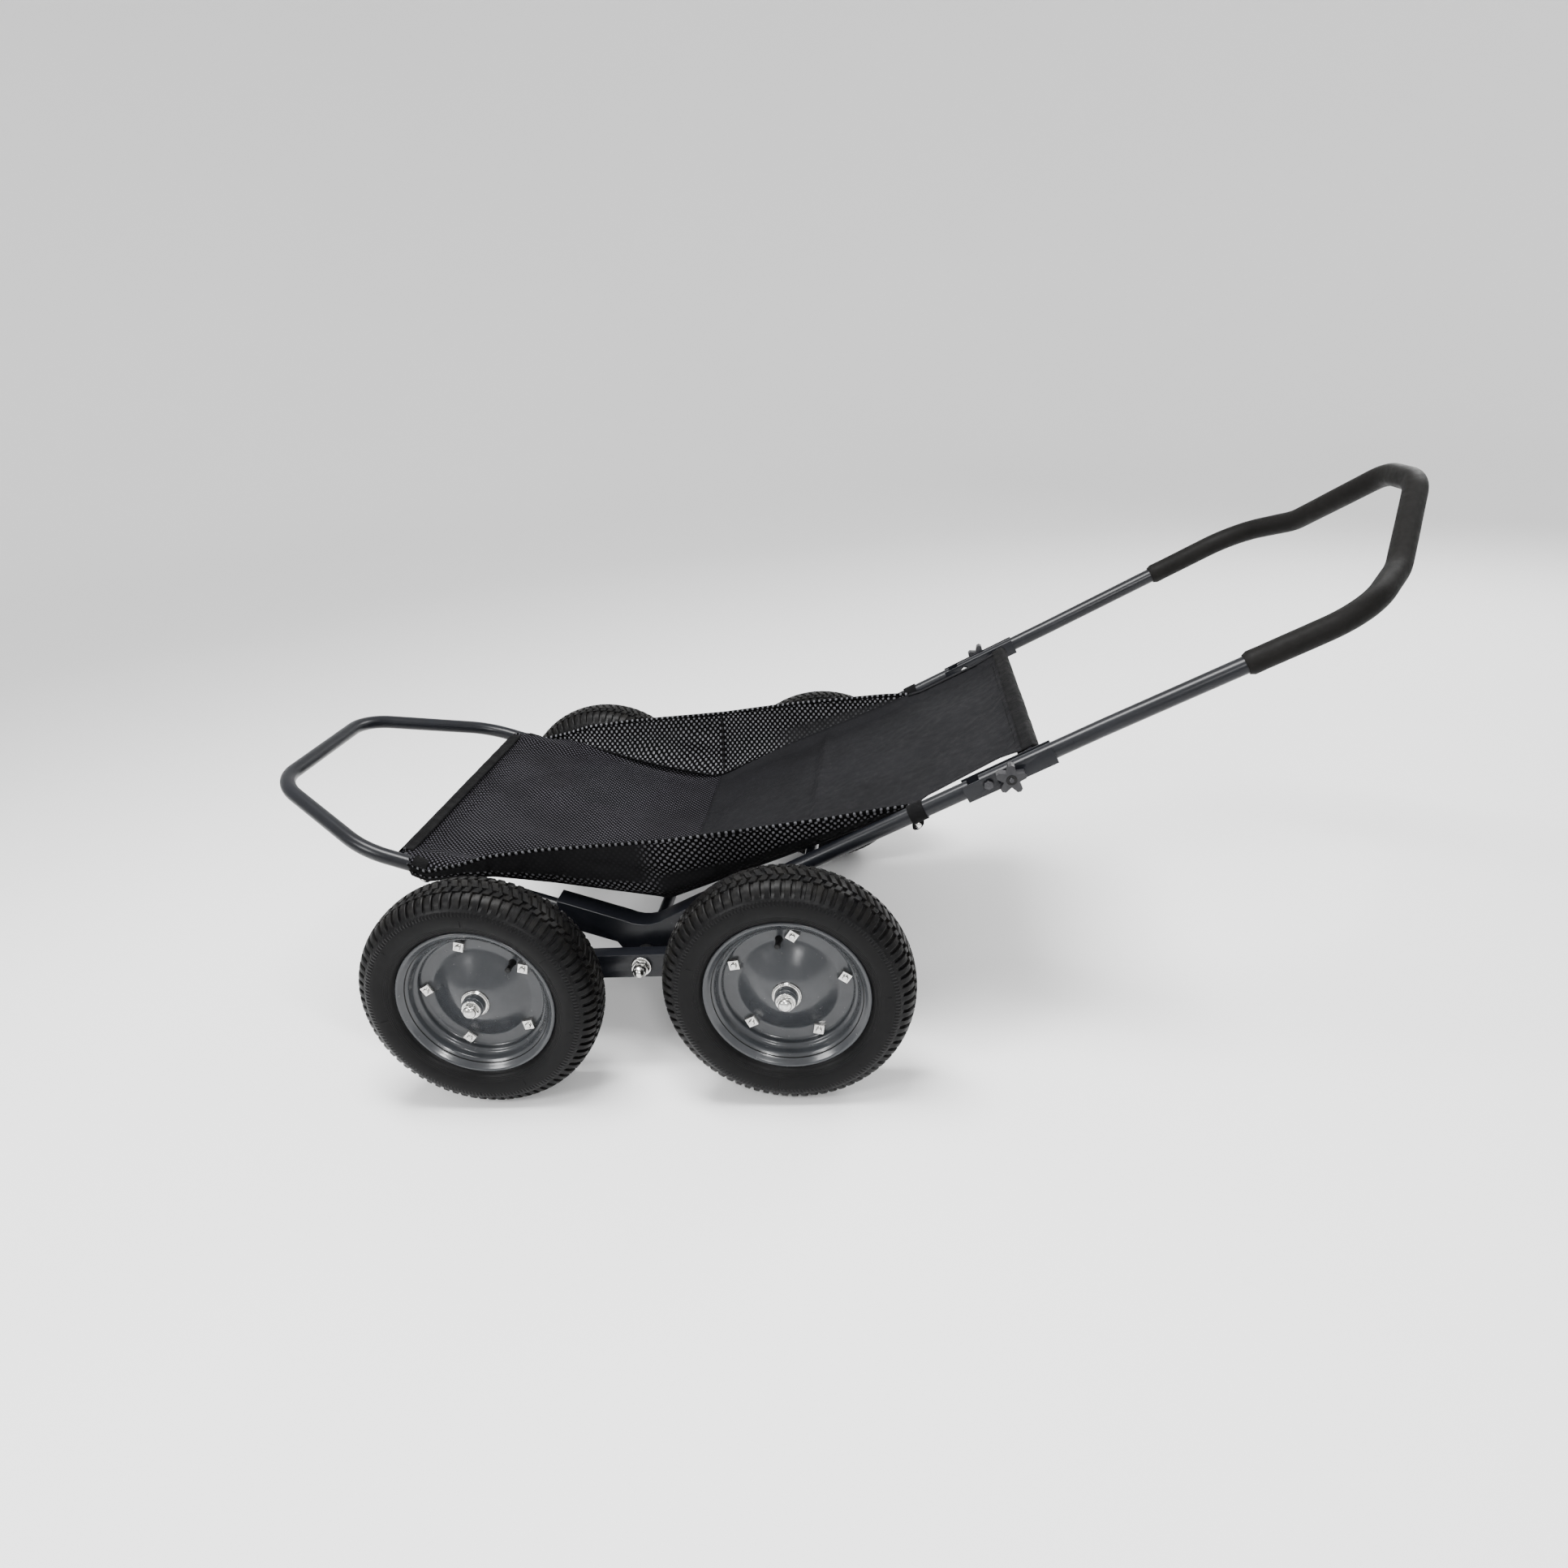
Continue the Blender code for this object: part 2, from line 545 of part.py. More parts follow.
# ---- sling --------------------------------------------------------------------------------------
def sling_section(x):
    """Floor height, floor half width, rim height and rim half width at x."""
    for i in range(len(SLING_X) - 1):
        if x <= SLING_X[i + 1] + 1e-9:
            break
    t = (x - SLING_X[i]) / (SLING_X[i + 1] - SLING_X[i])
    floor_z = SLING_Z[i] + (SLING_Z[i + 1] - SLING_Z[i]) * t
    floor_y = SLING_Y[i] + (SLING_Y[i + 1] - SLING_Y[i]) * t
    lip = 0.004
    if x < SLING_X[1]:
        share = (x - SLING_X[0]) / (SLING_X[1] - SLING_X[0])
    elif x < SLING_X[2]:
        share = (SLING_X[2] - x) / (SLING_X[2] - SLING_X[1])
    else:
        share = 0.0
    rim_z = floor_z + lip + (SLING_RIM_RISE - lip) * share
    rim_y = floor_y + (SLING_RIM_Y - floor_y) * share
    return floor_z, floor_y, rim_z, rim_y


def make_sling():
    """The hanging bed: a V floor with a triangular wall along each side, closed all round."""
    stations = [SLING_X[0], -0.24, -0.10, SLING_X[1], 0.16, 0.30, SLING_X[2], SLING_X[3], SLING_X[4]]
    bm = bmesh.new()
    rings = []
    for x in stations:
        floor_z, floor_y, rim_z, rim_y = sling_section(x)
        upper = [(-rim_y, rim_z), (-floor_y, floor_z), (0.0, floor_z), (floor_y, floor_z), (rim_y, rim_z)]
        lower = [(rim_y + SLING_T, rim_z - 0.001), (floor_y + 0.001, floor_z - SLING_T),
                 (0.0, floor_z - SLING_T), (-floor_y - 0.001, floor_z - SLING_T),
                 (-rim_y - SLING_T, rim_z - 0.001)]
        if floor_y < RAIL_Y - TUBE_R - 2 * SLING_T or rim_z - floor_z < 0.005:
            lower[0] = (rim_y + 0.001, rim_z - 0.001)
            lower[-1] = (-rim_y - 0.001, rim_z - 0.001)
        rings.append([bm.verts.new((x, y, z)) for y, z in upper + lower])
    join_rings(bm, rings, closed=False)
    bm.faces.new(rings[0])
    bm.faces.new(rings[-1])
    make_object("sling", bm, mesh_cloth("sling"), smooth=False)


def make_strap(end, x, side, sign):
    """Webbing sleeve that ties a sling corner to the rail."""
    name = f"sling_strap_{end}_{side}"
    reach = STRAP_W / 2 / sqrt(1 + (REAR_SLOPE if x > 0 else FRONT_SLOPE) ** 2)
    path = [rail_point(x - reach, sign * RAIL_Y), rail_point(x + reach, sign * RAIL_Y)]
    tube_along(name, path, TUBE_R + GAP + STRAP_T, TUBE_R + GAP, TUBE_SIDES, mesh_cloth(name))


# ---- assembly -----------------------------------------------------------------------------------
def build():
    for obj in list(bpy.data.objects):
        bpy.data.objects.remove(obj, do_unlink=True)
    make_front_loop()
    make_cross_tubes()
    make_handle()
    make_sling()
    for side, sign in SIDES:
        make_rear_rail(side, sign)
        make_pivot_bracket(side, sign)
        make_handle_bracket(side, sign)
        make_hinge_bolt(side, sign)
        make_star_knob(side, sign)
        make_rocker_beam(side, sign)
        make_pivot_bush(side, sign)
        make_pivot_bolt(side, sign)
        make_cap_nut(f"pivot_nut_{side}", PIVOT_X, BEAM_Y[1] + GAP, PIVOT_BOLT_END, sign, 0.0135)
        make_strap("front", STRAP_X[0], side, sign)
        make_strap("rear", STRAP_X[1], side, sign)
    for name, x, sign in WHEELS:
        make_wheel(name, x, sign)


build()
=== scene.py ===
"""Looks of the game cart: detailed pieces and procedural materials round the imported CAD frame.

Metres, +Z up, in the CAD frame. +X points to the handle and -Y is the near, left side.
"""
from math import cos, pi, radians, sin, sqrt, tan

import bmesh
import bpy
import numpy as np
from mathutils import Matrix, Vector, noise


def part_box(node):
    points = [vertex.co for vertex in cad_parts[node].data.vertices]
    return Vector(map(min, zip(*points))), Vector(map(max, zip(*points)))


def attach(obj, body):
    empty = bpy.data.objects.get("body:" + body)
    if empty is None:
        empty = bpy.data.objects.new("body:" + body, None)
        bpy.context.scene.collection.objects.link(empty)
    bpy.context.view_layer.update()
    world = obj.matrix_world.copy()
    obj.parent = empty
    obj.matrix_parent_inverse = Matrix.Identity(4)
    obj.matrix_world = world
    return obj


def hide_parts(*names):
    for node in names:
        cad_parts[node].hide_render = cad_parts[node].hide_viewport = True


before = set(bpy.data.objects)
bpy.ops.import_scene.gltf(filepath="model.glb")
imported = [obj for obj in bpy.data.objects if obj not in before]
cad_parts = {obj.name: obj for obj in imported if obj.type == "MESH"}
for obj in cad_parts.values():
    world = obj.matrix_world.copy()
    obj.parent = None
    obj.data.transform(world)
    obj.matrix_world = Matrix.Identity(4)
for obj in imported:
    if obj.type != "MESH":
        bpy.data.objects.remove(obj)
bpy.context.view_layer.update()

# ---- dimensions repeated from the CAD ---------------------------------------------------------------
TUBE_R = 0.0127
CROSS_R = 0.0095
RAIL_Y = 0.286
VERTEX_Z = 0.213
FRONT_SLOPE = 0.38
REAR_SLOPE = 0.443
SOCKET_X = 0.075
LOOP_CORNERS = ((-0.450, 0.286), (-0.648, 0.158))
LOOP_RADII = (0.150, 0.090, 0.090, 0.150)
RAIL_END_X = 0.514
HANDLE_ROOT_X = 0.531
HANDLE_FLARE_X = 0.700
HANDLE_BEND = (1.037, 0.298)
HANDLE_KINK = (1.107, 0.205)
HANDLE_APEX = (1.186, 0.050, 0.795)
HANDLE_RADII = (0.115, 0.110, 0.085, 0.085, 0.110, 0.115)
GRIP_START_X = 0.888
GRIP_R = 0.0172
HUB_R = 0.0175
HUB_END = 0.049
BOLT_CIRCLE_R = 0.087
RIM_BOLT_PHASE = {"front": 30.0, "rear": 9.0}
FRONT_TUBE_X = -0.392
REAR_TUBE_X = 0.607
STRAP_X = (-0.360, 0.436)
KNOB_X = 0.571

SIDES = (("left", -1), ("right", 1))
ENDS = ("front", "rear")
BEVEL_FROM = 28.0     # degrees: sharper edges of a CAD copy are rounded


# ---- small helpers ----------------------------------------------------------------------------------
def rail_z(x):
    return VERTEX_Z + (REAR_SLOPE * x if x > 0 else -FRONT_SLOPE * x)


def rail_point(x, y):
    return Vector((x, y, rail_z(x)))


def centre_of(node):
    low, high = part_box(node)
    return (Vector(low) + Vector(high)) / 2


def smoothstep(low, high, value):
    t = np.clip((value - low) / (high - low), 0.0, 1.0)
    return t * t * (3 - 2 * t)


def mirrored(points):
    """The points, and then their mirror images across the cart, in reverse order."""
    return points + [Vector((p.x, -p.y, p.z)) for p in reversed(points)]


def link_new(name, data):
    obj = bpy.data.objects.new(name, data)
    bpy.context.collection.objects.link(obj)
    return obj


def make_piece(name, verts, faces, mat, body, sharp=35.0):
    """A mesh object on a body, with its faces turned outwards."""
    mesh = bpy.data.meshes.new(name)
    mesh.from_pydata([tuple(v) for v in verts], [], faces)
    mesh.validate()
    bm = bmesh.new()
    bm.from_mesh(mesh)
    bmesh.ops.recalc_face_normals(bm, faces=bm.faces)
    bm.to_mesh(mesh)
    bm.free()
    return finish_piece(name, mesh, mat, body, sharp)


def finish_piece(name, mesh, mat, body, sharp=35.0):
    for polygon in mesh.polygons:
        polygon.use_smooth = True
    if sharp:
        mesh.set_sharp_from_angle(angle=radians(sharp))
    obj = link_new(name, mesh)
    mesh.materials.append(mat)
    if body:
        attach(obj, body)
    return obj


def grid_faces(rows, cols, wrap_rows=False, wrap_cols=False):
    faces = []
    for i in range(rows if wrap_rows else rows - 1):
        for j in range(cols if wrap_cols else cols - 1):
            a, b = i, (i + 1) % rows
            c, d = j, (j + 1) % cols
            faces.append((a * cols + c, b * cols + c, b * cols + d, a * cols + d))
    return faces


def capped_faces(rows, cols):
    """Faces of a run of closed rings, with one more over the first ring and over the last."""
    ends = [tuple(range(cols)), tuple((rows - 1) * cols + k for k in range(cols))]
    return grid_faces(rows, cols, wrap_cols=True) + ends


def soften(points, radii, steps=4, closed=True):
    """A 2-D outline with its corners rounded: each radius is the length trimmed either side."""
    points = [Vector(p) for p in points]
    count = len(points)
    result = []
    for i, point in enumerate(points):
        radius = radii[i] if hasattr(radii, "__len__") else radii
        if radius == 0 or (not closed and i in (0, count - 1)):
            result.append(point)
            continue
        before, after = points[i - 1], points[(i + 1) % count]
        to_before, to_after = before - point, after - point
        trim = min(radius, to_before.length * 0.48, to_after.length * 0.48)
        start = point + to_before.normalized() * trim
        end = point + to_after.normalized() * trim
        for step in range(steps + 1):
            t = step / steps
            result.append(start * (1 - t) ** 2 + point * 2 * t * (1 - t) + end * t ** 2)
    return result


def lathe(name, profile, segments, mat, body, centre, sign, sharp=35.0, closed=True):
    """Revolves (radius, outward) points about the Y line through centre; outward is away from the cart."""
    profile = [(p[0], p[1]) for p in profile]
    verts = []
    for step in range(segments):
        a = 2 * pi * step / segments
        for r, out in profile:
            verts.append((centre[0] + r * cos(a), centre[1] + sign * out, centre[2] + r * sin(a)))
    faces = grid_faces(segments, len(profile), wrap_rows=True, wrap_cols=closed)
    if not closed:
        for j in (0, len(profile) - 1):
            faces.append(tuple(i * len(profile) + j for i in range(segments)))
    return make_piece(name, verts, faces, mat, body, sharp)


def rounded_path(corners, radii, steps):
    """Replace each inner corner of a 3-D polyline by an arc of its bend radius."""
    points = [Vector(corners[0])]
    for previous, corner, following, radius in zip(corners, corners[1:], corners[2:], radii):
        corner = Vector(corner)
        if radius == 0:
            continue
        inward = (Vector(previous) - corner).normalized()
        outward = (Vector(following) - corner).normalized()
        half = inward.angle(outward) / 2
        centre = corner + (inward + outward).normalized() * radius / sin(half)
        arm = corner + inward * radius / tan(half) - centre
        axis = inward.cross(outward).normalized()
        sweep = pi - 2 * half
        for step in range(steps + 1):
            turn = Matrix.Rotation(-sweep * step / steps, 3, axis)
            points.append(centre + turn @ arm)
    points.append(Vector(corners[-1]))
    return points


def evenly(path, spacing):
    """The path again with points no further apart than spacing, corners kept."""
    result = [path[0]]
    for start, end in zip(path, path[1:]):
        pieces = max(1, int((end - start).length / spacing))
        result += [start.lerp(end, (k + 1) / pieces) for k in range(pieces)]
    return result


def frames_along(path):
    tangents = []
    for i in range(len(path)):
        before, after = path[max(i - 1, 0)], path[min(i + 1, len(path) - 1)]
        tangents.append((after - before).normalized())
    side = Vector((0, 0, 1)).cross(tangents[0])
    if side.length < 0.1:
        side = Vector((1, 0, 0)).cross(tangents[0])
    side.normalize()
    result = []
    for i, tangent in enumerate(tangents):
        if i:
            side = tangents[i - 1].rotation_difference(tangent) @ side
        result.append((side.copy(), tangent.cross(side).normalized()))
    return result


def tube(name, path, radius, mat, body, sides=32, wall=0.0016, shape=None, sharp=40.0):
    """A round tube along a path, hollow at its open ends. shape(i, angle) scales the outer radius."""
    angles = [2 * pi * k / sides for k in range(sides)]
    outer, inner = [], []
    for i, (point, (side, up)) in enumerate(zip(path, frames_along(path))):
        spokes = [side * cos(a) + up * sin(a) for a in angles]
        reach = [radius * (shape(i, a) if shape else 1.0) for a in angles]
        outer.append([point + spoke * r for spoke, r in zip(spokes, reach)])
        inner.append([point + spoke * (radius - wall) for spoke in spokes])
    rows = outer + inner[::-1]
    faces = grid_faces(len(rows), sides, wrap_rows=True, wrap_cols=True)
    return make_piece(name, [v for ring in rows for v in ring], faces, mat, body, sharp)


def rod(name, start, end, profile, sides, mat, body):
    """A solid turned rod: profile is (radius, share of the way from start to end)."""
    start, end = Vector(start), Vector(end)
    direction = (end - start).normalized()
    side = direction.orthogonal().normalized()
    up = direction.cross(side)
    verts = []
    for radius, share in profile:
        point = start.lerp(end, share)
        for k in range(sides):
            a = 2 * pi * k / sides
            verts.append(point + (side * cos(a) + up * sin(a)) * radius)
    return make_piece(name, verts, capped_faces(len(profile), sides), mat, body)


def bevelled_copy(node, name, width, segments, mat, body):
    """A copy of a CAD node with its flat faces merged and its edges rounded."""
    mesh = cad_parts[node].data.copy()
    bm = bmesh.new()
    bm.from_mesh(mesh)
    bmesh.ops.remove_doubles(bm, verts=bm.verts, dist=0.00002)
    bmesh.ops.dissolve_limit(bm, angle_limit=radians(1.5), verts=bm.verts, edges=bm.edges)
    edges = [e for e in bm.edges if len(e.link_faces) == 2 and e.calc_face_angle() > radians(BEVEL_FROM)]
    bmesh.ops.bevel(bm, geom=edges, offset=width, offset_type="OFFSET", segments=segments, profile=0.5,
                    affect="EDGES", clamp_overlap=True)
    bmesh.ops.recalc_face_normals(bm, faces=bm.faces)
    bm.to_mesh(mesh)
    bm.free()
    mesh.materials.clear()
    obj = finish_piece(name, mesh, mat, body, sharp=30.0)
    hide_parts(node)
    return obj


def join(objects, name):
    """Joins meshes into one object, keeping each one's materials."""
    target = objects[0]
    bm = bmesh.new()
    mats = []
    for obj in objects:
        mat = obj.data.materials[0]
        if mat not in mats:
            mats.append(mat)
        first = len(bm.faces)
        bm.from_mesh(obj.data)
        bm.faces.ensure_lookup_table()
        for face in bm.faces[first:]:
            face.material_index = mats.index(mat)
    bm.to_mesh(target.data)
    bm.free()
    target.data.materials.clear()
    for mat in mats:
        target.data.materials.append(mat)
    for obj in objects[1:]:
        bpy.data.objects.remove(obj, do_unlink=True)
    target.name = name
    return target


def assemble(parts, name, body, node):
    """Parts joined into one piece that rides on a body in place of a CAD node."""
    obj = join(parts, name)
    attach(obj, body)
    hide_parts(node)


# ---- materials --------------------------------------------------------------------------------------
class Nodes:
    """A Principled material with helpers that add and link shader nodes."""

    def __init__(self, name, colour, roughness, metallic=0.0, **values):
        self.mat = bpy.data.materials.new(name)
        self.mat.use_nodes = True
        self.tree = self.mat.node_tree
        self.shader = self.tree.nodes["Principled BSDF"]
        self.shader.inputs["Base Color"].default_value = (*colour, 1)
        self.shader.inputs["Roughness"].default_value = roughness
        self.shader.inputs["Metallic"].default_value = metallic
        for key, value in values.items():
            self.shader.inputs[key.replace("_", " ")].default_value = value
        self.place = self.add("ShaderNodeTexCoord").outputs["Object"]

    def add(self, kind, **settings):
        node = self.tree.nodes.new(kind)
        for key, value in settings.items():
            setattr(node, key, value)
        return node

    def link(self, output, socket):
        self.tree.links.new(output, socket)

    def noise(self, scale, detail=3.0, rough=0.5, stretch=None):
        node = self.add("ShaderNodeTexNoise")
        node.inputs["Scale"].default_value = scale
        node.inputs["Detail"].default_value = detail
        node.inputs["Roughness"].default_value = rough
        place = self.place
        if stretch:
            mapping = self.add("ShaderNodeMapping")
            mapping.inputs["Scale"].default_value = stretch
            self.link(place, mapping.inputs["Vector"])
            place = mapping.outputs["Vector"]
        self.link(place, node.inputs["Vector"])
        return node.outputs["Fac"]

    def remap(self, value, low, high, to_low, to_high):
        node = self.add("ShaderNodeMapRange")
        self.link(value, node.inputs["Value"])
        for key, number in (("From Min", low), ("From Max", high), ("To Min", to_low), ("To Max", to_high)):
            node.inputs[key].default_value = number
        return node.outputs["Result"]

    def math(self, operation, a, b=None):
        node = self.add("ShaderNodeMath", operation=operation)
        for socket, value in zip(node.inputs, (a, b)):
            if value is None:
                continue
            if isinstance(value, (int, float)):
                socket.default_value = value
            else:
                self.link(value, socket)
        return node.outputs["Value"]

    def mix(self, factor, a, b):
        """Colour mix; a and b are colours or sockets."""
        node = self.add("ShaderNodeMix", data_type="RGBA")
        self.link(factor, node.inputs["Factor"])
        for key, value in (("A", a), ("B", b)):
            socket = [s for s in node.inputs if s.name == key and s.type == "RGBA"][0]
            if isinstance(value, tuple):
                socket.default_value = (*value, 1)
            else:
                self.link(value, socket)
        return [s for s in node.outputs if s.type == "RGBA"][0]

    def colour(self, output):
        self.link(output, self.shader.inputs["Base Color"])

    def roughness(self, output):
        self.link(output, self.shader.inputs["Roughness"])

    def bump(self, height, strength, distance, below=None):
        node = self.add("ShaderNodeBump")
        node.inputs["Strength"].default_value = strength
        node.inputs["Distance"].default_value = distance
        self.link(height, node.inputs["Height"])
        if below:
            self.link(below, node.inputs["Normal"])
        self.link(node.outputs["Normal"], self.shader.inputs["Normal"])
        return node.outputs["Normal"]

    def cloud(self, scale, detail, rough, low, high):
        """Colour that drifts between two values."""
        self.colour(self.mix(self.remap(self.noise(scale, detail, rough), 0.35, 0.7, 0, 1), low, high))

    def wear(self, scale, detail, rough, top, smooth, dull, stretch=None):
        """Roughness that drifts between two values; top is the noise that counts as dull."""
        self.roughness(self.remap(self.noise(scale, detail, rough, stretch), 0.3, top, smooth, dull))

    def grain(self, scale, strength, distance):
        self.bump(self.noise(scale, 2.0, 0.5), strength, distance)


def solid(name, base, roughness, *, grain, cloud=None, wear=None, metallic=0.0, **values):
    """Paint, metal or moulded rubber: drifting colour, worn gloss and a fine grain."""
    n = Nodes(name, base, roughness, metallic, **values)
    if cloud:
        n.cloud(*cloud)
    if wear:
        n.wear(*wear)
    n.grain(*grain)
    return n.mat


def tyre_rubber():
    n = Nodes("tyre_rubber", (0.0025, 0.0025, 0.0025), 0.42, Specular_IOR_Level=0.10)
    split = n.add("ShaderNodeSeparateXYZ")
    n.link(n.place, split.inputs["Vector"])
    x, _, z = split.outputs
    radius = n.math("SQRT", n.math("ADD", n.math("MULTIPLY", x, x), n.math("MULTIPLY", z, z)))
    tread = n.remap(radius, 0.168, 0.182, 0, 1)
    dust = n.math("MULTIPLY", n.remap(n.noise(45.0, 6.0, 0.7), 0.40, 0.72, 0, 1), tread)
    n.colour(n.mix(dust, (0.0020, 0.0020, 0.0022), (0.0065, 0.0060, 0.0052)))
    rough = n.remap(n.noise(28.0, 6.0, 0.7), 0.3, 0.75, 0.34, 0.50)
    n.roughness(n.math("ADD", rough, n.math("MULTIPLY", tread, 0.02)))
    angle = n.math("ARCTAN2", z, x)
    ribs = n.math("SINE", n.math("MULTIPLY", angle, 180.0))
    band = n.math("MULTIPLY", n.remap(radius, 0.1585, 0.1600, 0, 1), n.remap(radius, 0.1650, 0.1665, 1, 0))
    serration = n.math("MULTIPLY", ribs, band)
    rings = n.math("SINE", n.math("MULTIPLY", radius, 2600.0))
    ring_band = n.math("MULTIPLY", n.remap(radius, 0.130, 0.132, 0, 1), n.remap(radius, 0.139, 0.141, 1, 0))
    rings = n.math("MULTIPLY", rings, ring_band)
    height = n.math("ADD", n.math("MULTIPLY", serration, 0.7), n.math("MULTIPLY", rings, 0.25))
    first = n.bump(n.noise(650.0, 3.0, 0.6), 0.25, 0.0004)
    n.bump(height, 0.8, 0.0008, first)
    return n.mat


def grip_foam():
    n = Nodes("grip_foam", (0.0032, 0.0030, 0.0027), 0.58, Specular_IOR_Level=0.09)
    n.cloud(14.0, 5.0, 0.65, (0.0025, 0.0024, 0.0022), (0.0048, 0.0045, 0.0041))
    n.wear(90.0, 5.0, 0.7, 0.75, 0.50, 0.68)
    cells = n.add("ShaderNodeTexVoronoi")
    cells.inputs["Scale"].default_value = 1100.0
    n.link(n.place, cells.inputs["Vector"])
    first = n.bump(cells.outputs["Distance"], 0.35, 0.0003)
    n.bump(n.noise(160.0, 4.0, 0.6), 0.25, 0.0006, first)
    return n.mat


def weave(n, u, v, pitch):
    """Product of two sine waves of this pitch: a grid of soft bumps and hollows from -1 to 1."""
    a = n.math("SINE", n.math("MULTIPLY", u, 2 * pi / pitch))
    b = n.math("SINE", n.math("MULTIPLY", v, 2 * pi / pitch))
    return n.math("MULTIPLY", a, b)


def scaled(colour, factor):
    return tuple(c * factor for c in colour)


def cloth_uv(n):
    split = n.add("ShaderNodeSeparateXYZ")
    n.link(n.add("ShaderNodeUVMap", uv_map="cloth").outputs["UV"], split.inputs["Vector"])
    return split.outputs[0], split.outputs[1]


def woven(name, pitch, dark, light, plain, openness, bump):
    """Mesh cloth: a diamond net of holes between yarns, closed where the shade attribute is 1. The closed
    part is black cloth, and on the side walls that black is partly painted shade.
    """
    n = Nodes(name, light, 0.62, Specular_IOR_Level=0.05)
    u, v = cloth_uv(n)
    sway = n.noise(9.0, 2.0, 0.5)
    u = n.math("ADD", u, n.math("MULTIPLY", sway, pitch * 1.6))
    hole = n.remap(weave(n, u, v, pitch), openness, openness + 0.28, 0, 1)
    worn = n.remap(n.noise(6.0, 5.0, 0.6), 0.3, 0.7, 0, 1)
    yarn = n.mix(worn, scaled(light, 0.62), scaled(light, 1.25))
    fine = n.noise(1600.0, 3.0, 0.6)
    yarn = n.mix(n.remap(fine, 0.35, 0.65, 0, 0.5), yarn, dark)
    net = n.mix(hole, yarn, dark)
    shade = n.add("ShaderNodeAttribute", attribute_name="shade").outputs["Fac"]
    # closed black cloth where the shade attribute is 1: real black cloth, and on the walls partly painted
    # shade of the shadowed cloth
    closed = n.mix(n.remap(fine, 0.35, 0.65, 0, 1), plain, scaled(plain, 1.6))
    n.colour(n.mix(shade, net, closed))
    n.roughness(n.remap(hole, 0, 1, 0.55, 0.85))
    first = n.bump(fine, 0.25, 0.0003)
    relief = n.math("MULTIPLY", n.math("SUBTRACT", 1.0, hole), n.math("SUBTRACT", 1.0, shade))
    n.bump(relief, bump, pitch * 0.14, first)
    return n.mat


def plain_weave(name, light, dark, pitch=0.0022):
    """Close black weave: rows of yarn crossing over and under."""
    n = Nodes(name, light, 0.7, Specular_IOR_Level=0.06)
    u, v = cloth_uv(n)
    net = n.remap(weave(n, u, v, pitch), -1, 1, 0, 1)
    worn = n.remap(n.noise(7.0, 5.0, 0.65), 0.3, 0.7, 0, 1)
    cloth = n.mix(worn, scaled(light, 0.75), scaled(light, 1.35))
    n.colour(n.mix(n.remap(net, 0.45, 0.95, 0, 1), cloth, dark))
    n.wear(60.0, 4.0, 0.6, 0.7, 0.55, 0.78)
    first = n.bump(n.noise(1800.0, 3.0, 0.6), 0.3, 0.0002)
    n.bump(net, 0.6, 0.0005, first)
    return n.mat


COAT = solid("powder_coat_charcoal", (0.0045, 0.0050, 0.0068), 0.28, Specular_IOR_Level=0.24,
             cloud=(9.0, 5.0, 0.6, (0.0036, 0.0040, 0.0054), (0.0062, 0.0068, 0.0090)),
             wear=(60.0, 6.0, 0.75, 0.80, 0.27, 0.34, (1.0, 1.0, 3.0)), grain=(900.0, 0.08, 0.0002))
RIM = solid("rim_gloss_grey", (0.026, 0.028, 0.031), 0.2,
            Specular_IOR_Level=0.36, Coat_Weight=0.12, Coat_Roughness=0.05,
            cloud=(16.0, 5.0, 0.6, (0.022, 0.024, 0.027), (0.031, 0.033, 0.036)),
            wear=(70.0, 5.0, 0.7, 0.75, 0.17, 0.30), grain=(180.0, 0.10, 0.0005))
TYRE = tyre_rubber()
RUBBER = solid("black_rubber", (0.0045, 0.0045, 0.0045), 0.45, Specular_IOR_Level=0.2,
               wear=(120.0, 4.0, 0.6, 0.7, 0.36, 0.55), grain=(900.0, 0.2, 0.0002))
ZINC = solid("bright_zinc", (0.55, 0.55, 0.54), 0.17, metallic=1.0,
             cloud=(260.0, 5.0, 0.65, (0.66, 0.66, 0.65), (0.34, 0.33, 0.31)),
             wear=(400.0, 4.0, 0.7, 0.75, 0.10, 0.30), grain=(700.0, 0.12, 0.0002))
FOAM = grip_foam()
PLASTIC = solid("knob_plastic", (0.016, 0.016, 0.018), 0.42, Specular_IOR_Level=0.3,
                cloud=(60.0, 4.0, 0.6, (0.013, 0.013, 0.015), (0.021, 0.021, 0.023)),
                wear=(150.0, 4.0, 0.6, 0.7, 0.34, 0.50), grain=(1400.0, 0.35, 0.0003))
DARK_STEEL = solid("dark_steel", (0.045, 0.045, 0.048), 0.36, metallic=1.0,
                   cloud=(300.0, 4.0, 0.6, (0.030, 0.030, 0.032), (0.065, 0.065, 0.068)),
                   grain=(900.0, 0.15, 0.0002))
NET_WALL = woven("sling_net_coarse", pitch=0.0108, dark=(0.0004, 0.0004, 0.0005), light=(0.115, 0.116, 0.124),
                 plain=(0.0046, 0.0046, 0.0050), openness=-0.42, bump=0.9)
NET_FLOOR = woven("sling_net_fine", pitch=0.0082, dark=(0.0006, 0.0006, 0.0008), light=(0.060, 0.058, 0.068),
                  plain=(0.0040, 0.0040, 0.0048), openness=-0.46, bump=0.8)
CLOTH = plain_weave("sling_panel_weave", (0.0078, 0.0078, 0.0088), (0.0026, 0.0026, 0.0030))
BINDING = plain_weave("sling_binding", (0.0030, 0.0030, 0.0033), (0.0012, 0.0012, 0.0013), 0.0016)


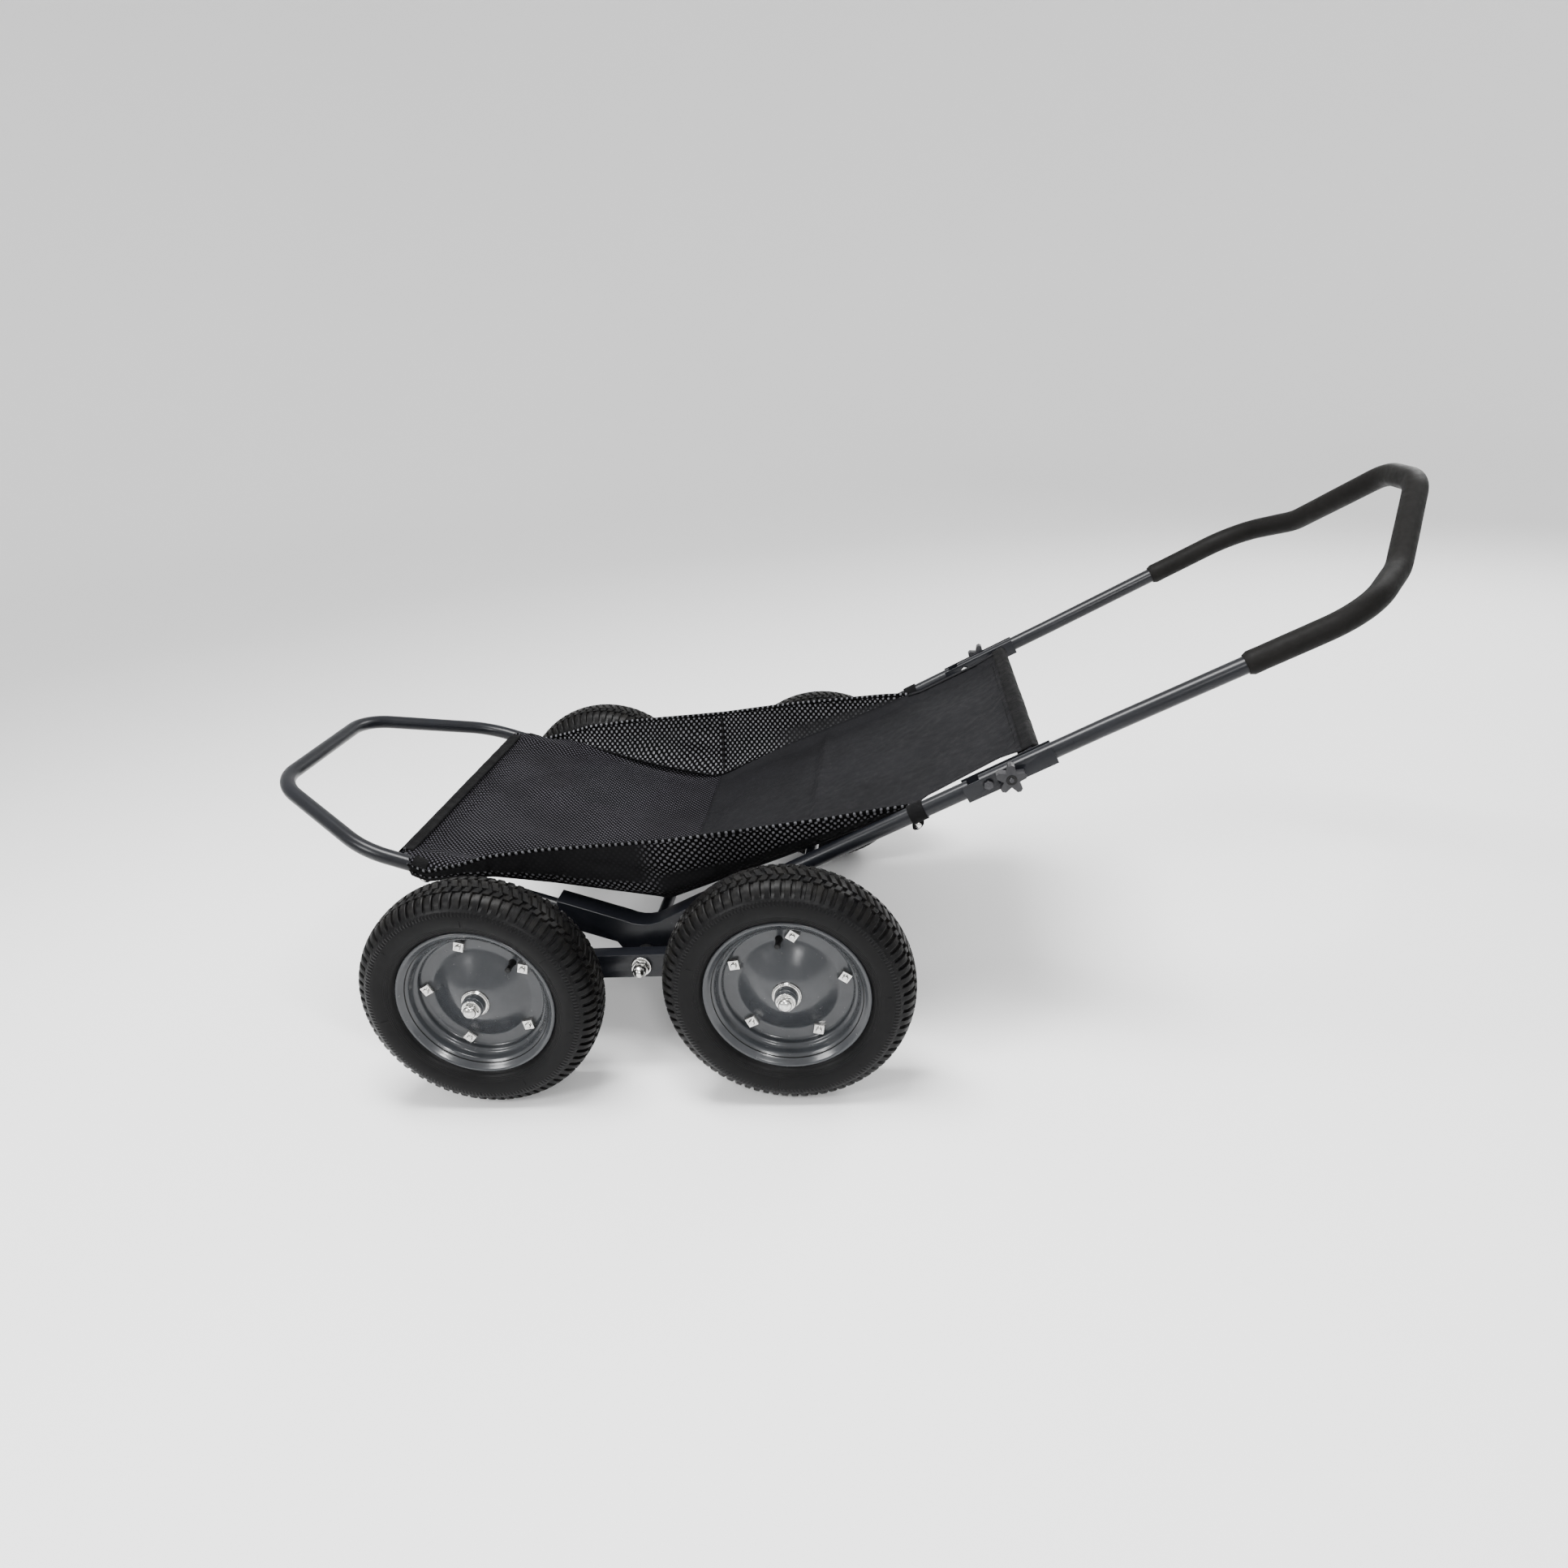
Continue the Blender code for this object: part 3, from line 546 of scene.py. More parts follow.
# ---- frame tubes ------------------------------------------------------------------------------------
def make_frame_tubes():
    (knee_x, knee_y), (front_x, front_y) = LOOP_CORNERS
    corners = mirrored([rail_point(-SOCKET_X, -RAIL_Y), rail_point(knee_x, -knee_y),
                        rail_point(front_x, -front_y)])
    path = evenly(rounded_path(corners, LOOP_RADII, 14), 0.03)
    obj = tube("bumper_loop_tube", path, TUBE_R, COAT, "frame")
    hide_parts("front_loop")
    for side, sign in SIDES:
        ends = [rail_point(SOCKET_X, sign * RAIL_Y), rail_point(RAIL_END_X, sign * RAIL_Y)]
        rail = tube(f"rail_tube_{side}", evenly(ends, 0.03), TUBE_R, COAT, "frame")
        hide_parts(f"rear_rail_{side}")
    for node in ("cross_strut", "rear_brace", "front_cross_tube", "rear_cross_tube"):
        low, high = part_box(node)
        middle = centre_of(node)
        path = [Vector((middle.x, low[1], middle.z)), Vector((middle.x, high[1], middle.z))]
        cross = tube(f"{node}_round", evenly(path, 0.03), CROSS_R, COAT, "frame", sides=24)
        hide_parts(node)


def handle_corners():
    return mirrored([rail_point(HANDLE_FLARE_X, -RAIL_Y), rail_point(HANDLE_BEND[0], -HANDLE_BEND[1]),
                     rail_point(HANDLE_KINK[0], -HANDLE_KINK[1]),
                     Vector((HANDLE_APEX[0], -HANDLE_APEX[1], HANDLE_APEX[2]))])


def make_handle():
    corners = handle_corners()
    path = rounded_path(corners, HANDLE_RADII, 14)
    path = [rail_point(HANDLE_ROOT_X, -RAIL_Y)] + path + [rail_point(HANDLE_ROOT_X, RAIL_Y)]
    obj = tube("handle_bar", evenly(path, 0.02), TUBE_R, COAT, "handle")
    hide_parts("handle_tube")
    share = (GRIP_START_X - HANDLE_FLARE_X) / (HANDLE_BEND[0] - HANDLE_FLARE_X)
    corners[0] = corners[0].lerp(corners[1], share)
    corners[-1] = corners[-1].lerp(corners[-2], share)
    path = evenly(rounded_path(corners, HANDLE_RADII, 20), 0.006)
    lengths = arc_lengths(path)
    total = lengths[-1]

    def swell(i, angle):
        """Rounded cut ends, and the slight unevenness of foam pushed on to a bent tube."""
        edge = min(lengths[i], total - lengths[i])
        lip = 1 - 0.16 * max(0.0, 1 - edge / 0.004) ** 2 + 0.02 * max(0.0, 1 - abs(edge - 0.010) / 0.010)
        place = Vector((lengths[i] * 11, cos(angle) * 0.7, sin(angle) * 0.7))
        return lip + 0.010 * noise.noise(place) + 0.004 * noise.noise(place * 4)

    grip = tube("grip_sleeve", path, GRIP_R, FOAM, "handle", sides=40, wall=GRIP_R - TUBE_R - 0.0002,
                shape=swell, sharp=50.0)
    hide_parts("foam_grip")


def make_brackets():
    for side, sign in SIDES:
        bevelled_copy(f"pivot_bracket_{side}", f"centre_bracket_{side}", 0.0022, 3, COAT, "frame")
        bevelled_copy(f"handle_bracket_{side}", f"hinge_channel_{side}", 0.0005, 2, COAT, "frame")
        bevelled_copy(f"rocker_beam_{side}", f"walking_beam_{side}", 0.0011, 3, COAT, f"beam_{side}")
        bevelled_copy(f"star_knob_{side}", f"clamp_knob_{side}", 0.0016, 4, PLASTIC, f"knob_{side}")
        bevelled_copy(f"pivot_bush_{side}", f"beam_spacer_{side}", 0.0005, 2, RUBBER, "frame")
        make_beam_caps(side)
        make_knob_trim(side, sign)


# rings of a beam plug: inset from the lip, and how far out of the beam
PLUG_RINGS = ((0.0018, -0.012), (0.0018, 0.0002), (0.0, 0.0002), (0.0, 0.0018), (0.0012, 0.0030))


def make_beam_caps(side):
    """Moulded plugs in the open ends of the rocking beam."""
    low, high = (Vector(v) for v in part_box(f"rocker_beam_{side}"))
    middle = (low + high) / 2
    lip = 0.0015
    outline = [(low.y + lip, low.z + lip), (high.y - lip, low.z + lip),
               (high.y - lip, high.z - lip), (low.y + lip, high.z - lip)]
    for end, x, out in (("front", low.x, -1), ("rear", high.x, 1)):
        verts = []
        for inset, depth in PLUG_RINGS:
            ring = soften([(y + (inset if y < middle.y else -inset), z + (inset if z < middle.z else -inset))
                           for y, z in outline], 0.0022, 3)
            verts += [(x + out * depth, p[0], p[1]) for p in ring]
        make_piece(f"beam_cap_{end}_{side}", verts, capped_faces(len(PLUG_RINGS), len(ring)), RUBBER,
                   f"beam_{side}", 40)


def make_knob_trim(side, sign):
    """Recessed cap and screw in the face of the star knob."""
    low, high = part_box(f"star_knob_{side}")
    x, z = KNOB_X, rail_z(KNOB_X)
    face = high[1] if sign > 0 else low[1]
    recess = [(0.0002, 0.0004), (0.0066, 0.0004), (0.0076, 0.0012), (0.0076, -0.004), (0.0002, -0.004)]
    lathe(f"knob_recess_{side}", soften(recess, 0.0003, 2), 28, RUBBER, f"knob_{side}", (x, face, z), sign)
    rod(f"knob_insert_{side}", (x, face - sign * 0.003, z), (x, face + sign * 0.0022, z),
        [(0.0040, 0), (0.0040, 0.85), (0.0033, 1.0)], 24, DARK_STEEL, f"knob_{side}")


# ---- fasteners --------------------------------------------------------------------------------------
def hex_nut(name, x, z, y_face, y_top, across, mat, body, turn=0.3):
    """Hexagon with chamfered corners, from y_face out to y_top."""
    reach = across / 2 / cos(pi / 6)
    sign = 1 if y_top > y_face else -1
    height = abs(y_top - y_face)
    verts = []
    rows = [(0.0, 0.93), (0.07, 1.0), (0.90, 1.0), (1.0, 0.91)]     # share of the height, share of the reach
    count = 48
    for share, cap in rows:
        for i in range(count):
            a = 2 * pi * i / count
            local = ((a + pi / 6) % (pi / 3)) - pi / 6
            hexagon = (across / 2) / cos(local)
            r = min(hexagon, reach * cap)
            verts.append((x + r * cos(a + turn), y_face + sign * share * height, z + r * sin(a + turn)))
    return make_piece(name, verts, capped_faces(len(rows), count), mat, body, 25)


def cap_nut(name, node, x, z, y_face, y_tip, body, size):
    """Washer, hexagon and polished dome over the end of a bolt; size is about half the hexagon's width."""
    sign = 1 if y_tip > y_face else -1
    washer = [(0.0081, 0.0), (size * 1.24, 0.0), (size * 1.24, 0.0014), (size * 1.14, 0.0022),
              (0.0081, 0.0022)]
    parts = [lathe(name, soften(washer, 0.0005, 3), 48, ZINC, None, (x, y_face, z), sign)]
    length = abs(y_tip - y_face)
    hex_out = min(0.0115, length * 0.5)
    parts.append(hex_nut(f"{name}_hex", x, z, y_face + sign * 0.0024, y_face + sign * hex_out, size * 1.86,
                         ZINC, None))
    dome_r = size * 0.84
    dome = [(dome_r * 0.98, hex_out - 0.001), (dome_r, hex_out + 0.001)]
    for step in range(1, 10):
        a = pi / 2 * step / 9
        dome.append((max(dome_r * cos(a), 0.0002), hex_out + 0.001 + (length - hex_out - 0.001) * sin(a)))
    parts.append(lathe(f"{name}_dome", dome, 40, ZINC, None, (x, y_face, z), sign, closed=False))
    assemble(parts, name, body, node)


def bolt_head(name, x, z, y_head, y_shank, y_end, radius, across, body, node, mat=ZINC):
    """Hexagon head with a washer face, and the shank it carries."""
    sign = 1 if y_end > y_shank else -1
    parts = [hex_nut(name, x, z, y_shank - sign * 0.0008, y_head, across, mat, None, 0.1)]
    parts.append(rod(f"{name}_shank", (x, y_shank - sign * 0.001, z), (x, y_end, z),
                     [(radius, 0), (radius, 0.97), (radius * 0.86, 1)], 28, mat, None))
    assemble(parts, name, body, node)


def outward_ends(node, sign):
    """Y of the two ends of a node, the one nearer the middle of the cart first."""
    low, high = (corner[1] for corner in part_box(node))
    return (low, high) if sign > 0 else (high, low)


def make_fasteners():
    for side, sign in SIDES:
        for end in ENDS:
            bolt, nut, beam = f"axle_bolt_{end}_{side}", f"axle_nut_{end}_{side}", f"beam_{side}"
            centre = centre_of(bolt)
            near, far = outward_ends(nut, sign)
            cap_nut(f"axle_cap_nut_{end}_{side}", nut, centre.x, centre.z, near, far, beam, 0.0120)
            near, far = outward_ends(bolt, sign)
            bolt_head(f"axle_hex_bolt_{end}_{side}", centre.x, centre.z, near, near + sign * 0.008, far,
                      0.0078, 0.022, beam, bolt)
        bolt, nut = f"pivot_bolt_{side}", f"pivot_nut_{side}"
        centre = centre_of(bolt)
        near, far = outward_ends(nut, sign)
        cap_nut(f"beam_cap_nut_{side}", nut, centre.x, centre.z, near, far, "frame", 0.0130)
        near, far = outward_ends(bolt, sign)
        bolt_head(f"beam_hex_bolt_{side}", centre.x, centre.z, near, near + sign * 0.009, far,
                  0.0078, 0.024, "frame", bolt)
        bolt = f"hinge_bolt_{side}"
        centre = centre_of(bolt)
        near, far = outward_ends(bolt, sign)
        bolt_head(f"hinge_hex_bolt_{side}", centre.x, centre.z, far, far - sign * 0.005, near,
                  0.0039, 0.013, "frame", bolt, DARK_STEEL)
        lock = hex_nut(f"hinge_lock_nut_{side}", centre.x, centre.z, near + sign * 0.0036,
                       near - sign * 0.0006, 0.012, ZINC, "frame")


# ---- wheels -----------------------------------------------------------------------------------------
LUGS = 76
LUG_SAMPLES = (0.0, 0.07, 0.15, 0.20, 0.28, 0.34, 0.43, 0.50, 0.57, 0.65, 0.70, 0.78, 0.84, 0.93)
TYRE_SECTION = (    # outward, radius: half of the outer surface, from the bead to the crown
    (0.0300, 0.1120), (0.0338, 0.1215), (0.0362, 0.1262), (0.0392, 0.1278),
    (0.0420, 0.1300), (0.0455, 0.1375), (0.0474, 0.1460), (0.0480, 0.1545), (0.0472, 0.1620),
    (0.0460, 0.1660), (0.0452, 0.1668), (0.0436, 0.1700), (0.0415, 0.1735), (0.0390, 0.1772),
    (0.0364, 0.1800), (0.0335, 0.1824), (0.0300, 0.1845), (0.0270, 0.1858), (0.0248, 0.1866),
    (0.0238, 0.1869), (0.0224, 0.1873), (0.0214, 0.1876), (0.0180, 0.1884), (0.0135, 0.1891),
    (0.0122, 0.1893), (0.0108, 0.1895), (0.0096, 0.1896), (0.0050, 0.1899), (0.0, 0.1900))
SHOULDER_R = 0.1708     # the shoulder lugs run down to this radius
TREAD_DEPTH = 0.0038
CENTRE_ROW = 0.0102     # the centre lugs reach this far from the middle of the tread
SECOND_ROW = (0.0118, 0.0219)
SHOULDER_ROW = 0.0243
HIDDEN_SECTION = ((-0.0200, 0.1130), (-0.0390, 0.1460), (-0.0200, 0.1740), (0.0, 0.1755), (0.0200, 0.1740),
                  (0.0390, 0.1460), (0.0200, 0.1130))     # inside of the casing: outward, radius
HAIRS = ((8, 0.150), (31, 0.143), (55, 0.152), (84, 0.141), (112, 0.150), (138, 0.146), (163, 0.152),
         (187, 0.142), (214, 0.151), (236, 0.145), (262, 0.152), (291, 0.143), (318, 0.151),
         (341, 0.146))     # degrees, radius
HAIR_SIDES = 5


def lug(phase):
    """1 on a lug, 0 in the groove beside it, for a phase in lugs."""
    away = np.abs(phase - np.round(phase))
    return 1 - smoothstep(0.28, 0.345, away)


def tyre_mesh():
    outer = list(TYRE_SECTION) + [(-o, r) for o, r in reversed(TYRE_SECTION[:-1])]
    out = np.array([p[0] for p in outer])
    rad = np.array([p[1] for p in outer])
    phases = np.array([i + s for i in range(LUGS) for s in LUG_SAMPLES])
    phase, outward = np.meshgrid(phases, out, indexing="ij")
    radius = np.broadcast_to(rad, phase.shape).copy()
    across = np.abs(outward)
    centre_row = (across < CENTRE_ROW) * lug(phase)
    second_row = (across > SECOND_ROW[0]) * (across < SECOND_ROW[1]) * lug(phase + 0.5)
    shoulder = (across > SHOULDER_ROW) * (radius > SHOULDER_R) * lug(phase)
    height = np.maximum(np.maximum(centre_row, second_row), shoulder)
    depth = TREAD_DEPTH * smoothstep(SHOULDER_R - 0.002, 0.1745, radius)
    depth = np.where(across < 0.0240, TREAD_DEPTH, depth)
    on_tread = radius > SHOULDER_R - 0.0035
    sink = np.where(on_tread, depth * (1 - height), 0.0)
    normal_out = np.gradient(rad)
    normal_rad = -np.gradient(out)
    size = np.hypot(normal_out, normal_rad)
    no, nr = normal_out / size, normal_rad / size
    if nr[len(nr) // 2] < 0:
        no, nr = -no, -nr
    outward = outward - sink * no
    radius = radius - sink * nr
    shear = 0.22 * np.sin(np.clip(outward / 0.022, -1, 1) * pi) * np.where(across < 0.024, 1, 0)
    angle = (phase + shear) * 2 * pi / LUGS
    points = np.stack([radius * np.cos(angle), outward, radius * np.sin(angle)], axis=-1)
    turn = phases * 2 * pi / LUGS
    rows = [np.stack([r * np.cos(turn), np.full_like(turn, o), r * np.sin(turn)], axis=-1)
            for o, r in HIDDEN_SECTION]
    points = np.concatenate([points, np.stack(rows, axis=1)], axis=1)
    count, cols = points.shape[:2]
    verts = points.reshape(-1, 3).tolist()
    faces = grid_faces(count, cols, wrap_rows=True, wrap_cols=True)
    add_vent_hairs(verts, faces)
    return verts, faces


def add_vent_hairs(verts, faces):
    """Thin moulding whiskers on both sidewalls."""
    for sign in (-1, 1):
        for degrees, r in HAIRS:
            a = radians(degrees + 5 * sign)
            radial = Vector((cos(a), 0, sin(a)))
            base = radial * r + Vector((0, sign * 0.0466, 0))
            tip = base + Vector((0, sign * 0.0022, 0)) + radial * 0.0110
            along = (tip - base).normalized()
            side = along.orthogonal().normalized()
            up = along.cross(side)
            first = len(verts)
            for point, size in ((base, 0.00055), (tip, 0.00028)):
                for k in range(HAIR_SIDES):
                    b = 2 * pi * k / HAIR_SIDES
                    verts.append(tuple(point + (side * cos(b) + up * sin(b)) * size))
            second = first + HAIR_SIDES
            for k in range(HAIR_SIDES):
                following = (k + 1) % HAIR_SIDES
                faces.append((first + k, first + following, second + following, second + k))
            faces.append(tuple(first + k for k in range(HAIR_SIDES)))
            faces.append(tuple(second + k for k in range(HAIR_SIDES)))


def rim_section():
    """Outer surface of a split rim half and back again underneath: (radius, outward)."""
    face = [(HUB_R + 0.0003, 0.0318), (0.0240, 0.0310), (0.0330, 0.0282), (0.0450, 0.0222), (0.0570, 0.0150),
            (0.0670, 0.0088), (0.0735, 0.0052), (0.0780, 0.0034), (0.0955, 0.0034), (0.0985, 0.0060),
            (0.0992, 0.0125), (0.1035, 0.0148), (0.1060, 0.0180), (0.1080, 0.0262), (0.1150, 0.0318),
            (0.1205, 0.0376), (0.1240, 0.0376), (0.1256, 0.0352), (0.1240, 0.0332), (0.1205, 0.0342)]
    back = [(0.1160, 0.0302), (0.1098, 0.0252), (0.1080, 0.0170), (0.1055, 0.0128), (0.1012, 0.0108),
            (0.1012, 0.0004), (0.0640, 0.0004), (0.0560, 0.0090), (0.0440, 0.0178), (0.0330, 0.0238),
            (HUB_R + 0.0003, 0.0280)]
    trims = [0.0006, 0.003, 0.005, 0.006, 0.006, 0.005, 0.002, 0.002, 0.002, 0.0015, 0.002, 0.0012, 0.0015,
             0.002, 0.002, 0.003, 0.0016, 0.0012, 0.001, 0.001]
    return soften(face + back, trims + [0.0015] * len(back), 3)


def make_wheels():
    verts, faces = tyre_mesh()
    section = rim_section()
    for end_number, end in enumerate(ENDS):
        for side, sign in SIDES:
            name, body = f"{end}_{side}", f"wheel_{end}_{side}"
            centre = centre_of(f"tyre_{name}")
            turn = Matrix.Rotation(radians(7 + 31 * end_number + 13 * sign), 3, "Y")
            tyre = make_piece(f"tread_tyre_{name}", [turn @ Vector(v) for v in verts], faces, TYRE, None, 38)
            tyre.location = centre
            bpy.context.view_layer.update()
            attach(tyre, body)
            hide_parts(f"tyre_{name}")
            for half, direction in (("outer", sign), ("inner", -sign)):
                rim = lathe(f"pressed_rim_{half}_{name}", section, 96, RIM, body, centre, direction, 40)
                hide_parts(f"rim_{half}_{name}")
            make_rim_bolts(name, end, sign, body, centre)
            make_hub(name, sign, body, centre)
            make_valve(name, sign, body)


NUT_ROWS = ((0.0, 0.0122), (0.70, 0.0122), (1.0, 0.0106))     # share of the height, reach of the corners
NUT_TURNS = (0, 17, -11, 24, 6)     # degrees, as left by the spanner
HEAD_DOME = ((0.0075, 0.0), (0.0075, 0.15), (0.0062, 0.62), (0.0035, 0.92), (0.0004, 1.0))


def make_rim_bolts(name, end, sign, body, centre):
    """Five square nuts on the outer half and carriage heads on the inner half."""
    parts = []
    base, top = centre.y + sign * 0.0034, centre.y + sign * 0.0098
    inner = centre.y - sign * 0.0034
    for i, nut_turn in enumerate(NUT_TURNS):
        a = radians(RIM_BOLT_PHASE[end] + 72 * i)
        x, z = centre.x + BOLT_CIRCLE_R * cos(a), centre.z + BOLT_CIRCLE_R * sin(a)
        turn = a + radians(nut_turn)
        verts = []
        for share, reach in NUT_ROWS:
            y = base + (top - base) * share
            verts += [(x + reach * cos(b), y, z + reach * sin(b))
                      for b in (pi * k / 2 + turn for k in range(4))]
        parts.append(make_piece(f"rim_nuts_{name}" if i == 0 else f"square_{i}_{name}", verts,
                                capped_faces(len(NUT_ROWS), 4), ZINC, None, 20))
        parts.append(rod(f"stud_{i}_{name}", (x, base, z), (x, top + sign * 0.0035, z),
                         [(0.0046, 0), (0.0046, 0.86), (0.0036, 1)], 20, DARK_STEEL, None))
        parts.append(rod(f"head_{i}_{name}", (x, inner, z), (x, inner - sign * 0.0042, z), HEAD_DOME, 24,
                         ZINC, None))
    obj = join(parts, f"rim_nuts_{name}")
    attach(obj, body)


def make_hub(name, sign, body, centre):
    """Turned hub tube with a bearing seat, a seal and a lubrication collar."""
    inner = min(abs(v[1]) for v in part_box(f"hub_{name}")) - abs(centre.y)
    section = [(0.0082, inner + 0.0004), (HUB_R, inner + 0.0004), (HUB_R, HUB_END - 0.0045),
               (HUB_R - 0.0016, HUB_END - 0.0038), (HUB_R - 0.0016, HUB_END), (0.0082, HUB_END)]
    hub = lathe(f"turned_hub_{name}", soften(section, 0.0006, 3), 64, RIM, body, centre, sign)
    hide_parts(f"hub_{name}")
    ring = soften([(HUB_R + 0.0002, 0.0312), (HUB_R + 0.0052, 0.0308), (HUB_R + 0.0050, 0.0326),
                   (HUB_R + 0.0040, 0.0345), (HUB_R + 0.0032, 0.0334), (HUB_R + 0.0022, 0.0356),
                   (HUB_R + 0.0002, 0.0360)], 0.0005, 3)
    for which, direction in (("outer", sign), ("inner", -sign)):
        seat = lathe(f"bearing_seat_{which}_{name}", ring, 64, ZINC, body, centre, direction)


def make_valve(name, sign, body):
    """Rubber valve stem with a dust cap."""
    low, high = (Vector(v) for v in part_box(f"valve_stem_{name}"))
    x, z = (low.x + high.x) / 2, (low.z + high.z) / 2
    start = low.y if sign > 0 else high.y
    section = [(0.0002, 0.0), (0.0060, 0.0), (0.0060, 0.0030), (0.0046, 0.0052), (0.0040, 0.0150),
               (0.0040, 0.0156), (0.0044, 0.0160), (0.0044, 0.0250), (0.0032, 0.0262), (0.0002, 0.0262)]
    valve = lathe(f"valve_{name}", soften(section, 0.0004, 2, closed=False), 28, RUBBER, body,
                  (x, start, z), sign, closed=False)
    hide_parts(f"valve_stem_{name}")


# ---- sling ------------------------------------------------------------------------------------------
HEM_R = 0.0122
LOW_X, LOW_Z = 0.031, 0.266
TAB_X, TAB_Z = 0.430, 0.409
WAIST_X = 0.453         # the rear panel is narrower from here back
WALL_SEAM_X = 0.045
RIM_RISE = 0.114
CLOTH_THICK = 0.0014
FLOOR_EDGE = ((-0.392, 0.268), (-0.374, 0.296), (-0.350, 0.3005), (-0.315, 0.2985), (-0.240, 0.288),
              (-0.150, 0.274), (LOW_X, 0.258), (0.200, 0.264), (TAB_X, 0.267), (WAIST_X, 0.254),
              (0.560, 0.244), (0.592, 0.254), (REAR_TUBE_X, 0.262))      # x, half width of the floor panels
RIM_LINE = ((-0.390, 0.268, 0.3735), (-0.376, 0.297, 0.3590), (-0.345, 0.3012, 0.3475),
            (-0.290, 0.3015, 0.3565), (-0.240, 0.3010, 0.3690), (-0.150, 0.3000, 0.3765),
            (0.050, 0.2990, 0.3825), (0.200, 0.2950, 0.3955), (0.300, 0.2860, 0.4015),
            (0.380, 0.2750, 0.4075), (0.432, 0.2675, 0.4095))      # x, y, z
FOOT_LINE = ((-0.390, 0.268, 0.3720), (-0.372, 0.3005, 0.3460), (-0.345, 0.3020, 0.3345),
             (-0.290, 0.2985, 0.3370), (-0.240, 0.2890, 0.3320), (-0.150, 0.2745, 0.3100),
             (LOW_X - 0.02, 0.2595, 0.2705), (LOW_X, 0.2585, 0.2650), (LOW_X + 0.02, 0.2590, 0.2715),
             (0.200, 0.2645, 0.3250), (0.432, 0.2670, 0.4080))      # x, y, z
FRONT_EDGE_Y, LOW_Y, REAR_EDGE_Y = 0.268, 0.262, 0.262


def blend_at(x, xs, values):
    return float(np.interp(x, xs, values))


def floor_height(x):
    """Height of the sling floor: two runs that meet in a soft fold at the lowest line."""
    xs = (FRONT_TUBE_X, LOW_X, TAB_X, REAR_TUBE_X)
    zs = (rail_z(FRONT_TUBE_X) + HEM_R - 0.0018, LOW_Z, TAB_Z, rail_z(REAR_TUBE_X) + HEM_R - 0.0018)
    total = 0.0
    for shift in (-0.036, -0.024, -0.012, 0.0, 0.012, 0.024, 0.036):
        total += blend_at(min(max(x + shift, xs[0]), xs[-1]), xs, zs)
    edge = min(x - xs[0], xs[-1] - x)
    soft = min(1.0, max(0.0, edge / 0.05))
    return blend_at(x, xs, zs) * (1 - soft) + total / 7 * soft


def floor_half(x):
    return blend_at(x, [p[0] for p in FLOOR_EDGE], [p[1] for p in FLOOR_EDGE])


def floor_point(x, share):
    """A point on the floor: share runs from -1 to 1 across. The front corners drape over the rail."""
    y, z = share * floor_half(x), floor_height(x)
    over = abs(y) - RAIL_Y
    drape = float(1 - smoothstep(-0.335, -0.285, x))
    if drape > 0 and over > -0.006:
        reach = TUBE_R + 0.0019
        round_z = rail_z(x) + sqrt(max(reach ** 2 - over ** 2, 0.0034 ** 2))
        z += drape * (min(z, round_z) - z) * float(smoothstep(-0.006, 0.006, over))
    from_hem = min(x - FRONT_TUBE_X, REAR_TUBE_X - x)
    crease = 0.0060 * noise.noise(Vector((x * 9, share * 2.6, 1.7)))
    crease *= float(smoothstep(0.015, 0.09, from_hem))
    return Vector((x, y, z + crease * (1 - share ** 4)))


def line_at(line, x):
    xs = [p[0] for p in line]
    return [blend_at(x, xs, [p[k] for p in line]) for k in (1, 2)]


def wall_point(x, sign, t):
    """A point on the side wall: t is 0 at the floor seam and 1 at the rim."""
    (foot_y, foot_z), (rim_y, rim_z) = line_at(FOOT_LINE, x), line_at(RIM_LINE, x)
    y = foot_y + (rim_y - foot_y) * t
    z = foot_z + (rim_z - foot_z) * t
    height = min(1.0, (rim_z - foot_z) / RIM_RISE)
    belly = sin(pi * t)
    front = float(1 - smoothstep(LOW_X - 0.03, LOW_X + 0.05, x))
    folds = 0.0052 * sin(2.6 * pi * t + 7.0 * x + 0.8 * sin(19 * x)) * belly * (0.3 + 0.7 * front)
    ripple = (0.010 if sign > 0 else 0.006) * noise.noise(Vector((x * 13, t * 2.0, sign * 3.1))) * belly
    if sign > 0:
        slump = sqrt(max(0.0, 1 - t) ** 3) * float(np.exp(-((x + 0.07) / 0.14) ** 2))
        y -= 0.028 * slump
        z += 0.005 * slump
    return Vector((x, sign * (y + height * (0.004 * belly + folds + ripple)), z))


def wall_stations():
    xs = list(np.linspace(-0.390, -0.345, 10)) + list(np.linspace(-0.345, LOW_X, 56))[1:]
    return xs + list(np.linspace(LOW_X, TAB_X, 60))[1:]


def wall_pattern():
    """Length of a wall's rim, and the area between its foot and rim lines laid flat."""
    feet = [wall_point(x, -1, 0.0) for x in wall_stations()]
    rims = [wall_point(x, -1, 1.0) for x in wall_stations()]
    along = arc_lengths(rims)
    heights = [(rim - foot).length for foot, rim in zip(feet, rims)]
    strips = [(a + b) / 2 * (v - u) for a, b, u, v in zip(heights, heights[1:], along, along[1:])]
    return along[-1], sum(strips)


